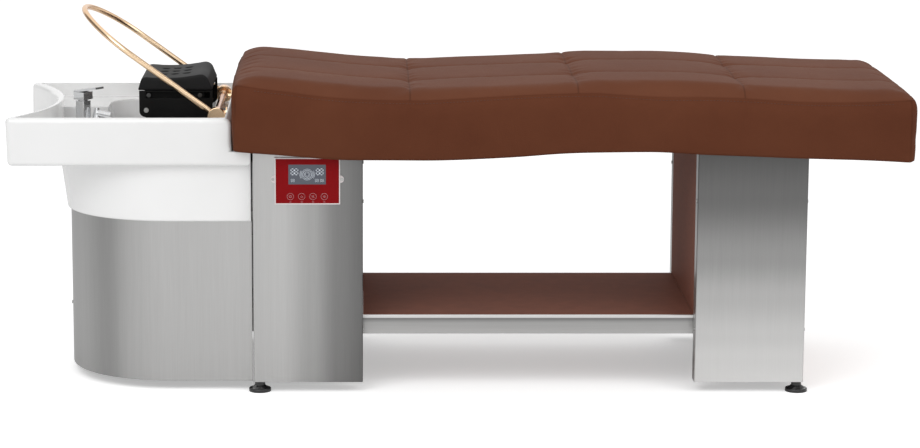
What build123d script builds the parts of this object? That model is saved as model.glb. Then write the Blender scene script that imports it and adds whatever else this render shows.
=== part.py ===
from build123d import *
import math
import os

os.makedirs("parts", exist_ok=True)

# Salon hair washing bed: a leather couch on two steel pedestals with a ceramic head basin
# Millimetres, +Z up, X runs from the basin to the foot end, origin at the floor under the middle

# Overall
total_length = 2027.0
bed_width = 650.0
basin_overhang = 509.0
basin_left_x = -total_length / 2
bed_head_x = basin_left_x + basin_overhang
bed_foot_x = total_length / 2
bed_length = bed_foot_x - bed_head_x

# Shared clearances and cutting allowance
seat_gap = 0.3
running_gap = 0.05
overrun = 20.0

# Pedestals
pedestal_length = 248.0
pedestal_setback = 42.0
foot_overhang = 228.0
pedestal_inset = 40.0
pedestal_width = bed_width - 2 * pedestal_inset
floor_gap = 23.0
cover_top = 558.0
cover_drop = 2.0
cover_sheet = 1.5
cover_return = 40.0
cover_bend = 4.0
frame_tube = 25.0
frame_wall = 2.0
side_panel = 9.0
mount_plate = 3.0

# Shelf between the pedestals
shelf_top = 170.0
shelf_board_thickness = 19.0
shelf_rail_height = 43.5
shelf_rail_sheet = 3.0
shelf_lip_height = 6.5
shelf_lip_proud = 3.0
shelf_rail_seat = 37.0
shelf_end_plate = 3.0
shelf_bar_width = 30.0

# Bed rails and board
rail_height = 40.0
rail_width = 20.0
rail_spacing = 400.0
rail_end_margin = 6.0
board_thickness = 15.0
board_gap = 2.5

# Mattress
mattress_skirt = 37.0
mattress_seam_draw = 5.0
mattress_end_draw = 8.0
mattress_columns = 4
mattress_crown = 24.0
mattress_row_valley_share = 0.24
mattress_valley_end_share = 0.4
mattress_row_seam = 108.0
mattress_shoulder_in = 28.0
mattress_shoulder_share = 0.86
mattress_shoulder_round_share = 0.72
mattress_cross_seam_share = 0.25
mattress_edge = 676.0

# Levelling feet
foot_pad_radius = 25.0
foot_pad_height = 8.0
foot_collar_radius = 11.5
foot_collar_height = 8.0
foot_stem_radius = 6.0
foot_stem_length = 55.0
foot_cone_share = 0.8
foot_plug_height = 25.0

# Basin
basin_width = 600.0
basin_rim = 630.0
basin_tray_depth = 111.0
basin_tray_bottom = basin_rim - basin_tray_depth
basin_base = 390.0
basin_end_hollow_radius = 508.0
basin_tip_radius = 13.0
basin_wall = 15.0
basin_tray_draw = 20.0
basin_right_x = bed_head_x + 38.0
basin_step_x = bed_head_x - 4.0
basin_step_drop = 77.0
basin_step_top = basin_rim - basin_step_drop
basin_step_round = 18.0
tray_bottom_round = 9.0
rim_round = 10.0
ledge_drop = 33.0
ledge_z = basin_rim - ledge_drop
ledge_width = 42.0
rear_ledge_width = 43.0
bowl_length = 250.0
bowl_bottom = 415.0
bowl_draw = 38.0
bowl_corner = 70.0
bowl_floor_round = 30.0
shell = 12.0
deck_drop = 70.0
deck_z = basin_rim - deck_drop
deck_width = 220.0
deck_length = 76.0
deck_corner = 20.0

# Skirt under the basin
skirt_gap = 3.0
skirt_nose_inset = 117.5
skirt_length = basin_overhang + pedestal_setback - skirt_gap - skirt_nose_inset
skirt_width = 518.0
skirt_nose = 258.0
skirt_power = 2.15
skirt_bottom = 20.0
skirt_sheet = 1.5
skirt_points = 14
apron_nose_top = 27.0
apron_nose_bottom = 8.0
apron_side = 3.0
support_rail_y = 165.0
nose_bar_y = 50.0
nose_bar_z = 145.0

# Mixer tap and hand shower
tap_setback = 61.5
tap_turn = -36.5
tap_body_side = 26.0
tap_flange_radius = 15.5
tap_flange_height = 14.0
tap_body_height = 68.0
tap_body_top = deck_z + tap_body_height
tap_collar_radius = 11.0
tap_collar_height = 3.0
tap_block_side = 32.0
tap_block_height = 18.0
tap_lever_length = 53.0
tap_lever_width = 28.0
tap_lever_thickness = 5.0
tap_lever_slope = 10.0
tap_shank_radius = 12.0
tap_nut_radius = 15.4
tap_nut_height = 8.0
spray_from_tap = 31.5
spray_top_rise = 51.0
spray_top_z = deck_z + spray_top_rise
spray_cone_rise = 24.0
spray_cone_z = deck_z + spray_cone_rise
spray_base_radius = 11.5
spray_top_radius = 5.0
spray_holder_wall = 4.0
spray_holder_height = 12.0
spray_head_radius = 9.0
spray_head_length = 33.0
spray_head_rise = 39.0
spray_head_z = deck_z + spray_head_rise
spray_head_slope = 12.0
spray_bore = 4.5
spray_hose_radius = 4.0
spray_hose_bend = 24.0
spray_hose_turn_z = 490.0
spray_hose_low_z = 430.0
spray_hose_half_width = 33.0
spray_hose_drop = 30.0
supply_hose_radius = 5.0
tap_hose_ring = 6.2
union_spacing = 85.0
union_hex = 26.0
union_hex_height = 12.0
union_neck_radius = 9.0
union_neck_height = 18.0
union_nut_height = 10.0
union_thread_radius = 10.4
union_thread_length = 30.0
union_bore = 3.5
supply_hose_bend = 50.0
hose_drop_shares = (0.06, 0.46, 0.72)

# Drain
drain_hole_radius = 26.0
drain_flange_radius = 34.0
drain_flange_height = 3.0
drain_pipe_radius = 20.0
drain_pipe_wall = 2.0
trap_radius = 34.0
trap_top = 350.0
trap_height = 95.0
waste_drop_from_drain = 145.0
waste_bend = 45.0
waste_end_z = 30.0
waste_collar_radius = 22.0
waste_collar_length = 40.0
trap_outlet_share = 0.7
strainer_radius = 24.0
strainer_height = 14.0
strainer_sheet = 1.5
strainer_hole_radius = 2.5
strainer_ring_radius = 12.0
strainer_hole_count = 8

# Neck rest
rest_length = 172.0
rest_width = 240.0
rest_from_bed = 53.0
rest_rise = 38.0
rest_thickness = 31.0
rest_bottom = basin_rim + rest_rise
rest_top = rest_bottom + rest_thickness
rest_hump = 6.0
rest_saddle = 4.0
rest_edge = 9.0
rest_nose_round = 20.0
rest_hole_length = 15.0
rest_hole_width = 14.0
rest_hole_pitch_x = 27.0
rest_hole_pitch_y = 50.0
rest_hole_rows = 3
rest_hole_shift = 4.0
rest_hole_depth = 20.0
rest_lean_share = 0.26
rest_round_share = 0.7
bracket_length = 168.0
bracket_width = 232.0
bracket_sheet = 3.0
bracket_top = rest_bottom - 1.0
bracket_base_length = 140.0
bracket_round = 14.0
slot_length = 147.0
slot_height = 14.0
slot_drop = 10.0
slot_z = bracket_top - slot_drop
slot_front_margin = 15.0
carrier_pin_radius = 4.0
carrier_pin_spacing = 117.0
carrier_pin_setback = 7.0
carrier_head_radius = 5.0
carrier_head_height = 3.5
carrier_depth = 22.0
rest_bar_width = 25.0
rest_bar_height = 6.0
bracket_screw_radius = 3.0
bracket_screw_head = 5.5
bracket_side_screw_inset = 16.0
bracket_side_screw_rise = 16.0

# Circulation hoop
hoop_pivot_from_bed = 42.0
hoop_pivot_rise = 22.0
hoop_pivot_z = ledge_z + hoop_pivot_rise
hoop_angle = 36.0
hoop_reach = 384.0
hoop_half_width = 184.0
hoop_end_depth = 150.0
hoop_shoulder = 125.0
hoop_tube_radius = 6.5
hoop_tube_wall = 1.5
hub_radius = 19.8
hub_length = 24.0
hub_overhang = 12.0
cross_tube_radius = 8.5
spigot_radius = 7.0
spigot_length = 16.0
hoop_bracket_radius = 6.0
hoop_bracket_ring = 12.0
hoop_bracket_width = 14.0
hoop_bracket_foot_radius = 14.0
hoop_bracket_foot = 4.0
hoop_bracket_spacing = 280.0
feed_hose_radius = 5.0
feed_nipple_radius = 4.0
feed_y = 60.0
feed_hole_radius = 8.0
feed_offset = 4.0
feed_hose_bend = 50.0

# Control panel
panel_length = 147.0
panel_height = 106.0
panel_top = 540.0
panel_from_edge = 50.0
panel_proud = 6.0
panel_border = 2.5
panel_ear_radius = 8.5
panel_ear_sheet = 2.0
housing_inset = 6.0
panel_glass = 3.5
panel_glass_recess = 0.6
lcd_length = 84.0
lcd_height = 45.0
lcd_top_margin = 15.5
lcd_left_margin = 31.0
lcd_thickness = 2.0
key_radius = 8.0
key_height = 0.4
key_pitch = 25.4
key_drop = 88.0
key_count = 4
key_margin = 4.3
panel_screw_radius = 3.4
panel_screw_height = 1.6
panel_screw_shank = 1.5
panel_screw_length = 8.0
panel_screw_drop = 49.4
housing_depth = 42.0
housing_wall = 2.0
circuit_board_thickness = 1.6

# Equipment inside the head pedestal
tray_sheet = 2.0
tank_radius = 82.0
tank_height = 310.0
tank_wall = 1.5
tank_cover_gap = 53.0
tank_neck_radius = 24.0
heater_flange_radius = 38.0
heater_flange_height = 12.0
heater_rod_radius = 5.0
heater_rod_length = 230.0
heater_rod_spacing = 24.0
pump_radius = 36.0
pump_height = 95.0
pump_base = 12.0
pump_y = -70.0
pump_port_radius = 7.0
pump_port_length = 12.0
link_hose_radius = 9.0
gland_radius = 12.0
gland_height = 10.0
gland_bore = 4.5
gland_z = 90.0

# Fasteners
screw_radius = 2.0
screw_head_radius = 4.0
screw_head_height = 2.0
screw_length = 8.0
bolt_radius = 3.0
bolt_head_radius = 5.5
bolt_head_height = 4.0
bolt_length = 12.0


def save(name, *solids):
    """Write one node, as a single solid or as a group of separate solids."""
    shape = solids[0] if len(solids) == 1 else Compound(children=list(solids))
    export_step(shape, f"parts/{name}.step")


def block(x0, x1, y0, y1, z0, z1):
    """Box between two opposite corners."""
    return Pos((x0 + x1) / 2, (y0 + y1) / 2, (z0 + z1) / 2) * Box(x1 - x0, y1 - y0, z1 - z0)


def post(x, y, z0, z1, radius):
    """Upright round bar."""
    return Pos(x, y, (z0 + z1) / 2) * Cylinder(radius, z1 - z0)


def bar_along_y(x, z, y0, y1, radius):
    """Round bar that lies along Y."""
    return Pos(x, (y0 + y1) / 2, z) * Rot(X=90) * Cylinder(radius, y1 - y0)


def bar_along_x(y, z, x0, x1, radius):
    """Round bar that lies along X."""
    return Pos((x0 + x1) / 2, y, z) * Rot(Y=90) * Cylinder(radius, x1 - x0)


def square_tube(x0, x1, y0, y1, z0, z1, along, wall=frame_wall):
    """Open ended box section, hollow along one axis."""
    pads = [0 if axis == along else wall for axis in "xyz"]
    hole = block(x0 + pads[0], x1 - pads[0], y0 + pads[1], y1 - pads[1], z0 + pads[2], z1 - pads[2])
    return block(x0, x1, y0, y1, z0, z1) - hole


def interpolate(table, x):
    """Smooth height at x from a list of (x, height) points."""
    if x <= table[0][0]:
        return table[0][1]
    for (x0, h0), (x1, h1) in zip(table, table[1:]):
        if x <= x1:
            t = (x - x0) / (x1 - x0)
            return h0 + (h1 - h0) * t * t * (3 - 2 * t)
    return table[-1][1]


def hose(points, radii, radius):
    """Round solid along straight runs joined by tangent arcs."""
    path = FilletPolyline(*points, radius=radii)
    profile = Plane(origin=path @ 0, z_dir=path % 0) * Circle(radius)
    return sweep(profile, path)


# Places that several pieces share
head_x0 = bed_head_x + pedestal_setback
head_x1 = head_x0 + pedestal_length
foot_x1 = bed_foot_x - foot_overhang
foot_x0 = foot_x1 - pedestal_length
half_width = pedestal_width / 2
tube_y1 = half_width - cover_sheet
tube_y0 = tube_y1 - frame_tube
panel_y = half_width - cover_return - seat_gap
frame_top = cover_top + cover_drop
frame_top_low = frame_top - frame_tube
shelf_tube_top = shelf_top - shelf_board_thickness
shelf_tube_low = shelf_tube_top - frame_tube
rail_top = frame_top + rail_height
board_top = rail_top + board_thickness


# Places of the cover screws: x of the sheet, way out, y and z
screw_places = [(x, way, side * (tube_y0 + frame_tube / 2), z)
                for x, way in ((head_x1, 1), (foot_x0, -1), (foot_x1, 1)) for side in (-1, 1)
                for z in (floor_gap + 3 * cover_return, cover_top - 3 * cover_return)]


def shank_along_x(x, way, y, z, length, radius):
    """Screw shank from the seat at x, which points way, into the object."""
    return bar_along_x(y, z, *sorted((x, x - way * length)), radius)


def screw_along_x(x, way, y, z, length, radius, head_height, head_radius):
    """Screw along X: its head stands proud of the seat at x."""
    head = bar_along_x(y, z, *sorted((x, x + way * head_height)), head_radius)
    return head + shank_along_x(x, way, y, z, length, radius)


cover_shanks = [shank_along_x(*place, screw_length, screw_radius) for place in screw_places]

# Places of the shelf bolts, in the end plates of the shelf rails
shelf_low = shelf_top - shelf_rail_height
shelf_face_y = half_width - cover_return - shelf_lip_proud
rail_inner_y = shelf_face_y - shelf_rail_seat
bolt_places = [(x, way, side * (rail_inner_y + shelf_rail_seat / 2),
                (shelf_low + shelf_tube_top - shelf_rail_sheet) / 2)
               for x, way in ((head_x1 - side_panel + shelf_end_plate, 1),
                              (foot_x0 + side_panel - shelf_end_plate, -1))
               for side in (-1, 1)]
bolt_shanks = [shank_along_x(*place, bolt_length, bolt_radius) for place in bolt_places]


def upright_spans(x0, x1):
    """X spans of a pedestal's two rows of uprights."""
    return [(x0 + cover_sheet, x0 + cover_sheet + frame_tube),
            (x1 - cover_sheet - frame_tube, x1 - cover_sheet)]


def pedestal_uprights(x0, x1):
    """Four corner posts of one pedestal."""
    posts = []
    for left, right in upright_spans(x0, x1):
        for side in (-1, 1):
            low, high = sorted((side * tube_y0, side * tube_y1))
            tube = square_tube(left, right, low, high, floor_gap, frame_top, "z")
            outer = tube.edges().filter_by(Axis.Z).group_by(lambda edge: abs(edge.center().Y))[-1]
            posts.append(fillet(outer, cover_bend) - cover_shanks)
    return posts


def pedestal_long_tubes(x0, x1):
    """Tubes along X between the posts, at the floor and under the bed."""
    (_, inner_left), (inner_right, _) = upright_spans(x0, x1)
    tubes = []
    for side in (-1, 1):
        low, high = sorted((side * tube_y0, side * tube_y1))
        for z0 in (floor_gap, frame_top_low):
            tubes.append(square_tube(inner_left, inner_right, low, high, z0, z0 + frame_tube, "x"))
    return tubes


def pedestal_cross_tubes(spans):
    """Tubes along Y between the posts, at the shelf and under the bed rails."""
    tubes = []
    for left in spans:
        for z0 in (shelf_tube_low, frame_top_low):
            tube = square_tube(left, left + frame_tube, -tube_y0, tube_y0, z0, z0 + frame_tube, "y")
            tubes.append(tube - bolt_shanks if z0 == shelf_tube_low else tube)
    return tubes


def pedestal_frame(x0, x1, spans):
    """All welded tubes of one pedestal."""
    return pedestal_uprights(x0, x1) + pedestal_long_tubes(x0, x1) + pedestal_cross_tubes(spans)


def pedestal_cover(x0, x1, side):
    """Folded sheet cover with a bent edge at each end of its face."""
    outer = block(x0, x1, half_width - cover_return, half_width, floor_gap, cover_top)
    outer = fillet(outer.edges().filter_by(Axis.Z).group_by(Axis.Y)[-1], cover_bend)
    inner = block(x0 + cover_sheet, x1 - cover_sheet, half_width - cover_return - overrun,
                  half_width - cover_sheet, floor_gap - overrun, cover_top + overrun)
    inner = fillet(inner.edges().filter_by(Axis.Z).group_by(Axis.Y)[-1], cover_bend - cover_sheet)
    cover = outer - inner
    return (cover if side > 0 else mirror(cover, Plane.XZ)) - cover_shanks


# Head pedestal
basin_side_tube_x = head_x0 + mount_plate
bay_side_tube_x = head_x1 - side_panel - frame_tube
save("head_frame", *pedestal_frame(head_x0, head_x1, [basin_side_tube_x, bay_side_tube_x]))

# Panel and LCD places, measured from the cover's outer edge and the panel's top
panel_x0 = head_x0 + panel_from_edge
panel_x1 = panel_x0 + panel_length
panel_z0 = panel_top - panel_height
glass_x0 = panel_x0 + panel_border
glass_x1 = panel_x1 - panel_border
glass_z0 = panel_z0 + panel_border
glass_z1 = panel_top - panel_border
panel_front = -half_width - panel_proud
housing_x0 = glass_x0 + housing_inset
housing_x1 = glass_x1 - housing_inset
housing_z0 = glass_z0 + housing_inset
housing_z1 = glass_z1 - housing_inset
housing_back = -half_width + cover_sheet + housing_depth
ear_front = -half_width - panel_ear_sheet
ear_z = panel_top - panel_screw_drop
panel_screw_xs = (panel_x0 - panel_ear_radius / 2, panel_x1 + panel_ear_radius / 2)
panel_shanks = [bar_along_y(x, ear_z, ear_front, ear_front + panel_screw_length, panel_screw_shank)
                for x in panel_screw_xs]

front_cover = pedestal_cover(head_x0, head_x1, -1)
front_cover -= block(housing_x0 - seat_gap, housing_x1 + seat_gap, -half_width - overrun,
                     -tube_y1 + seat_gap, housing_z0 - seat_gap, housing_z1 + seat_gap)
save("head_front_cover", front_cover - panel_shanks)
save("head_rear_cover", pedestal_cover(head_x0, head_x1, 1)
     - bar_along_y((head_x0 + head_x1) / 2, gland_z, half_width - overrun, half_width + overrun,
                   gland_radius / 2))
save("bay_panels", *[block(x, x + side_panel, -panel_y, panel_y, shelf_top + seat_gap, cover_top)
                     for x in (head_x1 - side_panel, foot_x0)])
feed_pass_z = basin_tray_bottom - 2 * drain_pipe_radius
save("head_mount_plate", block(head_x0, head_x0 + mount_plate, -panel_y, panel_y, floor_gap, cover_top)
     - bar_along_x(feed_y, feed_pass_z, head_x0 - overrun, head_x0 + overrun, feed_hole_radius))

# Foot pedestal
foot_bay_tube_x = foot_x0 + side_panel
foot_end_tube_x = foot_x1 - side_panel - frame_tube
save("foot_frame", *pedestal_frame(foot_x0, foot_x1, [foot_bay_tube_x, foot_end_tube_x]))
save("foot_front_cover", pedestal_cover(foot_x0, foot_x1, -1))
save("foot_rear_cover", pedestal_cover(foot_x0, foot_x1, 1))
save("foot_end_panel", block(foot_x1 - side_panel, foot_x1, -panel_y, panel_y, floor_gap, cover_top))


# Shelf
def shelf_rail(side):
    """Folded rail: face, top lip and the seat that carries the board."""
    lip_y = half_width - cover_return
    start = head_x1 - side_panel + shelf_end_plate
    stop = foot_x0 + side_panel - shelf_end_plate
    rail = block(start, stop, shelf_face_y - shelf_rail_sheet, shelf_face_y, shelf_low,
                 shelf_top - shelf_lip_height)
    rail += block(start, stop, rail_inner_y, shelf_face_y - shelf_rail_sheet,
                  shelf_tube_top - shelf_rail_sheet, shelf_tube_top)
    rail += block(head_x1 + seat_gap, foot_x0 - seat_gap, shelf_face_y - shelf_rail_sheet, lip_y,
                  shelf_top - shelf_lip_height, shelf_top)
    for x in (start - shelf_end_plate, stop):
        rail += block(x, x + shelf_end_plate, rail_inner_y, shelf_face_y, shelf_low, shelf_tube_top)
    return (rail if side > 0 else mirror(rail, Plane.XZ)) - bolt_shanks


save("shelf_rails", shelf_rail(-1), shelf_rail(1))
board_y = shelf_face_y - shelf_rail_sheet - seat_gap
save("shelf_board", block(head_x1 + seat_gap, foot_x0 - seat_gap, -board_y, board_y, shelf_tube_top,
                          shelf_top))
bar_x = (head_x1 + foot_x0) / 2
save("shelf_middle_bar", block(bar_x - shelf_bar_width / 2, bar_x + shelf_bar_width / 2, -rail_inner_y,
                               rail_inner_y, shelf_tube_top - shelf_rail_sheet, shelf_tube_top))
save("shelf_bolts", *[screw_along_x(*place, bolt_length, bolt_radius, bolt_head_height, bolt_head_radius)
                      for place in bolt_places])

# Bed rails, cross members and board
cavity_x0 = bed_head_x + mattress_skirt
cavity_x1 = bed_foot_x - mattress_skirt
cavity_y = bed_width / 2 - mattress_skirt
rail_x0 = cavity_x0 + rail_end_margin
rail_x1 = cavity_x1 - rail_end_margin
rails = [square_tube(rail_x0, rail_x1, side * rail_spacing / 2 - rail_width / 2,
                     side * rail_spacing / 2 + rail_width / 2, frame_top, rail_top, "x")
         for side in (-1, 1)]
member_y = rail_spacing / 2 - rail_width / 2
members = []
for share in (0, 1 / 3, 2 / 3, 1):
    x = rail_x0 + share * (rail_x1 - rail_x0 - rail_width)
    members.append(square_tube(x, x + rail_width, -member_y, member_y, frame_top, rail_top, "y"))
save("bed_frame", *rails, *members)
save("bed_board", block(cavity_x0 + board_gap, cavity_x1 - board_gap, -cavity_y + board_gap,
                        cavity_y - board_gap, rail_top, board_top))

# Mattress: edge heights at places along the length, as shares of it
edge_height_shares = [(0, 1.047), (0.044, 1.032), (0.08, 1.022), (0.117, 1.01), (0.154, 1.002),
                      (0.19, 0.997),
                      (0.24, 0.994), (0.286, 0.994), (0.367, 1.004), (0.45, 1.014), (0.532, 1.018),
                      (0.56, 1.014), (0.627, 1.005), (0.7, 1.004), (0.75, 1.0), (0.84, 0.988),
                      (0.93, 0.988), (1, 0.995)]
lower_height_shares = [(0, 0.828), (0.062, 0.818), (0.1, 0.811), (0.154, 0.802), (0.24, 0.8), (0.31, 0.8),
                       (0.41, 0.81), (0.49, 0.823), (0.57, 0.827), (0.63, 0.827), (0.69, 0.819),
                       (0.75, 0.814), (0.84, 0.806), (0.93, 0.8), (1, 0.792)]
crown_shares = [(0, 0.25), (0.04, 0.67), (0.08, 0.87), (0.13, 1.0), (0.19, 1.0), (0.26, 0.67),
                (0.34, 0.71),
                (0.41, 0.67), (0.475, 0.71), (0.52, 0.83), (0.57, 0.96), (0.64, 1.12), (0.7, 1.0),
                (0.76, 0.92), (0.83, 0.96), (0.9, 0.79), (0.98, 0.62)]
pillow_shares = [(0, 0), (0.05, 0.62), (0.14, 0.93), (0.32, 1), (0.5, 1), (0.68, 1), (0.86, 0.93),
                 (0.95, 0.62), (1, 0)]


def mattress_heights(x):
    """Lower edge height, top seam height and crown above the seam at x."""
    share = (x - bed_head_x) / bed_length
    tables = (lower_height_shares, edge_height_shares, crown_shares)
    low, edge, crown = [interpolate(table, share) for table in tables]
    return mattress_edge * low, mattress_edge * edge, mattress_crown * crown


def mattress_section(x, pillow, draw):
    """Closed outline across the mattress: drawn-in sides and three crowned rows."""
    low, edge, crown = mattress_heights(x)
    low += draw / 2
    edge -= draw
    side = bed_width / 2 - draw
    seam = side - mattress_seam_draw
    shoulder_y = side - mattress_shoulder_in
    crown *= 1 - (1 - pillow) * mattress_cross_seam_share
    shoulder = crown * mattress_shoulder_share
    valley_depth = mattress_valley_end_share + (1 - mattress_valley_end_share) * pillow
    valley = crown * (1 - mattress_row_valley_share * valley_depth)
    row_middle = (shoulder_y + mattress_row_seam) / 2
    row_crown = crown * (1 - mattress_row_valley_share / 8)
    bulge_y = (seam + 2 * shoulder_y) / 3
    bulge_z = edge + mattress_shoulder_round_share * shoulder

    def at(y, z):
        return Vector(x, y, z)

    return Wire([
        Edge.make_line(at(seam, low), at(-seam, low)),
        Edge.make_three_point_arc(at(-seam, low), at(-side, (low + edge) / 2), at(-seam, edge)),
        Edge.make_three_point_arc(at(-seam, edge), at(-bulge_y, bulge_z),
                                  at(-shoulder_y, edge + shoulder)),
        Edge.make_three_point_arc(at(-shoulder_y, edge + shoulder), at(-row_middle, edge + row_crown),
                                  at(-mattress_row_seam, edge + valley)),
        Edge.make_three_point_arc(at(-mattress_row_seam, edge + valley), at(0, edge + crown),
                                  at(mattress_row_seam, edge + valley)),
        Edge.make_three_point_arc(at(mattress_row_seam, edge + valley), at(row_middle, edge + row_crown),
                                  at(shoulder_y, edge + shoulder)),
        Edge.make_three_point_arc(at(shoulder_y, edge + shoulder), at(bulge_y, bulge_z), at(seam, edge)),
        Edge.make_three_point_arc(at(seam, edge), at(side, (low + edge) / 2), at(seam, low)),
    ])


def mattress_column(index):
    """One quilted column between two cross seams."""
    width = bed_length / mattress_columns
    start = bed_head_x + index * width
    sections = []
    for share, pillow in pillow_shares:
        draw = 0
        if (index == 0 and share == 0) or (index == mattress_columns - 1 and share == 1):
            draw = mattress_end_draw
        sections.append(mattress_section(start + share * width, pillow, draw))
    return Solid.make_loft(sections, True)


mattress = mattress_column(0)
for column in range(1, mattress_columns):
    mattress = mattress + mattress_column(column)
mattress -= block(cavity_x0, cavity_x1, -cavity_y, cavity_y, frame_top - 4 * overrun, board_top)
save("mattress", mattress)

# Levelling feet, one under each outer corner post
foot_places = {
    "head_front": (head_x0 + cover_sheet + frame_tube / 2, -1),
    "head_rear": (head_x0 + cover_sheet + frame_tube / 2, 1),
    "foot_front": (foot_x1 - cover_sheet - frame_tube / 2, -1),
    "foot_rear": (foot_x1 - cover_sheet - frame_tube / 2, 1)}
foot_y = tube_y0 + frame_tube / 2
plugs = []
for name, (x, side) in foot_places.items():
    y = side * foot_y
    collar_z = floor_gap - seat_gap - foot_collar_height
    pad = post(x, y, 0, foot_pad_height, foot_pad_radius)
    cone = Pos(x, y, (foot_pad_height + collar_z) / 2) * Cone(foot_pad_radius * foot_cone_share,
                                                              foot_collar_radius,
                                                              collar_z - foot_pad_height)
    collar = post(x, y, collar_z, floor_gap - seat_gap, foot_collar_radius)
    pad = fillet(pad.edges().filter_by(GeomType.CIRCLE).group_by(Axis.Z)[-1], foot_pad_height / 4)
    socket = post(x, y, foot_pad_height / 2, floor_gap + overrun, foot_stem_radius)
    stem = post(x, y, foot_pad_height / 2, floor_gap + foot_stem_length, foot_stem_radius)
    save(f"levelling_foot_{name}", pad + cone + collar - socket, stem)
    plug = block(x - frame_tube / 2 + frame_wall, x + frame_tube / 2 - frame_wall,
                 y - frame_tube / 2 + frame_wall,
                 y + frame_tube / 2 - frame_wall, floor_gap, floor_gap + foot_plug_height)
    plugs.append(plug - post(x, y, floor_gap - overrun, floor_gap + foot_plug_height + overrun,
                             foot_stem_radius + running_gap))
save("foot_plugs", *plugs)


# Basin: one glazed casting with a hollowed left end, a tap deck, a ledge and a bowl
basin_y = basin_width / 2
tip_y = basin_y - basin_tip_radius
hollow_x = (basin_left_x + basin_tip_radius
            - math.sqrt((basin_end_hollow_radius + basin_tip_radius) ** 2 - tip_y ** 2))
hollow_edge_x = hollow_x + basin_end_hollow_radius
skirt_end_x = head_x0 - skirt_gap
skirt_centre_x = skirt_end_x - skirt_length + skirt_nose


def tray_plan(inset, hollow_inset, corner):
    """Plan of the tray: straight sides and a left end hollowed by a large circle."""
    left = basin_left_x - basin_end_hollow_radius / 4
    plan = Pos((left + basin_right_x) / 2) * Rectangle(basin_right_x - left, basin_width - 2 * inset)
    plan -= Pos(hollow_x) * Circle(basin_end_hollow_radius + hollow_inset)
    return fillet(plan.vertices().group_by(Axis.X)[0], corner)


def skirt_plan(nose, side, end_x):
    """Plan of the skirt and apron: a squared half oval with straight sides to the pedestal."""
    power = 2 / skirt_power
    points = []
    for step in range(skirt_points + 1):
        angle = math.pi * (step / skirt_points - 0.5)
        y = side * math.copysign(abs(math.sin(angle)) ** power, math.sin(angle))
        points.append((skirt_centre_x - nose * math.cos(angle) ** power, y))
    curve = Spline(*points, tangents=[(-1, 0), (1, 0)])
    ends = Polyline(points[-1], (end_x, side), (end_x, -side), points[0])
    return make_face(curve + ends)


def lofted(low_plan, low_z, high_plan, high_z):
    """Straight sided solid between two plans."""
    return loft([Pos(Z=low_z) * low_plan, Pos(Z=high_z) * high_plan], ruled=True)


bowl_x1 = basin_step_x - basin_wall - rear_ledge_width
bowl_x0 = bowl_x1 - bowl_length
bowl_x = (bowl_x0 + bowl_x1) / 2
bowl_width = basin_width - 2 * (basin_wall + ledge_width)
deck_x1 = bowl_x0 + deck_corner


def bowl_shape(grow, low_z, round_radius):
    """The bowl's hollow, or its outside when it grows by the wall."""
    top = Pos(bowl_x) * RectangleRounded(bowl_length + 2 * grow, bowl_width + 2 * grow,
                                         bowl_corner + grow)
    shrink = 2 * (grow - bowl_draw)
    low = Pos(bowl_x) * RectangleRounded(bowl_length + shrink, bowl_width + shrink,
                                         bowl_corner + grow - bowl_draw / 2)
    bowl = lofted(low, low_z, top, ledge_z)
    return fillet(bowl.edges().group_by(Axis.Z)[0], round_radius)


def deck_shape(grow):
    """The sunk tap deck's hollow, or its outside when it grows by the wall."""
    plan = tray_plan(basin_wall - grow, basin_wall - grow, basin_tip_radius)
    band = Pos(deck_x1 - deck_length) * Rectangle(2 * deck_length, deck_width + 2 * grow)
    return extrude(Pos(Z=deck_z - grow) * (plan & band), ledge_z + grow - deck_z)


tray = lofted(tray_plan(basin_tray_draw, -basin_tray_draw / 2, basin_tip_radius), basin_tray_bottom,
              tray_plan(0, 0, basin_tip_radius), basin_rim)
tray = fillet(tray.edges().group_by(Axis.Z)[0], tray_bottom_round)
tray -= block(basin_step_x, basin_right_x + overrun, -basin_width, basin_width, basin_step_top,
              basin_rim + overrun)
rim_corner = [edge for edge in tray.edges().filter_by(Axis.Y)
              if abs(edge.center().Z - basin_rim) < running_gap
              and abs(edge.center().X - basin_step_x) < running_gap]
tray = fillet(rim_corner, basin_step_round)
rim_edges = tray.edges().group_by(Axis.Z)[-1]
tray = fillet(rim_edges.filter_by(lambda edge: edge.center().X < basin_step_x - 2 * overrun), rim_round)
apron = lofted(skirt_plan(skirt_nose + apron_nose_bottom, skirt_width / 2 + apron_side, basin_right_x),
               basin_base,
               skirt_plan(skirt_nose + apron_nose_top, skirt_width / 2 + apron_side, basin_right_x),
               basin_tray_bottom + tray_bottom_round)
well_plan = tray_plan(basin_wall, basin_wall, basin_tip_radius / 2)
well_plan &= Pos(basin_step_x - basin_wall - total_length / 2) * Rectangle(total_length, basin_width)
well = extrude(Pos(Z=ledge_z) * well_plan, basin_rim + overrun - ledge_z)
under = lofted(skirt_plan(skirt_nose + apron_nose_bottom - shell, skirt_width / 2 + apron_side - shell,
                          basin_right_x + overrun), basin_base - overrun,
               skirt_plan(skirt_nose + apron_nose_top - shell, skirt_width / 2 + apron_side - shell,
                          basin_right_x + overrun), basin_tray_bottom)
under += extrude(Pos(Z=basin_tray_bottom) * (
    skirt_plan(skirt_nose + apron_nose_top - shell, skirt_width / 2 + apron_side - shell,
               basin_right_x + overrun)
    & tray_plan(basin_wall + basin_tray_draw, basin_wall, basin_tip_radius)
    & (Pos(basin_step_x - shell - total_length / 2) * Rectangle(total_length, basin_width))),
    ledge_z - shell - basin_tray_bottom)
under -= bowl_shape(shell, bowl_bottom - shell, bowl_floor_round + shell)
under -= deck_shape(shell)
basin = tray + apron - well - under
basin -= bowl_shape(0, bowl_bottom, bowl_floor_round)
basin -= deck_shape(0)
tap_x = hollow_edge_x + tap_setback
spray_x = tap_x + spray_from_tap
pivot_x = bed_head_x - hoop_pivot_from_bed
feed_x = pivot_x + feed_offset
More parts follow.
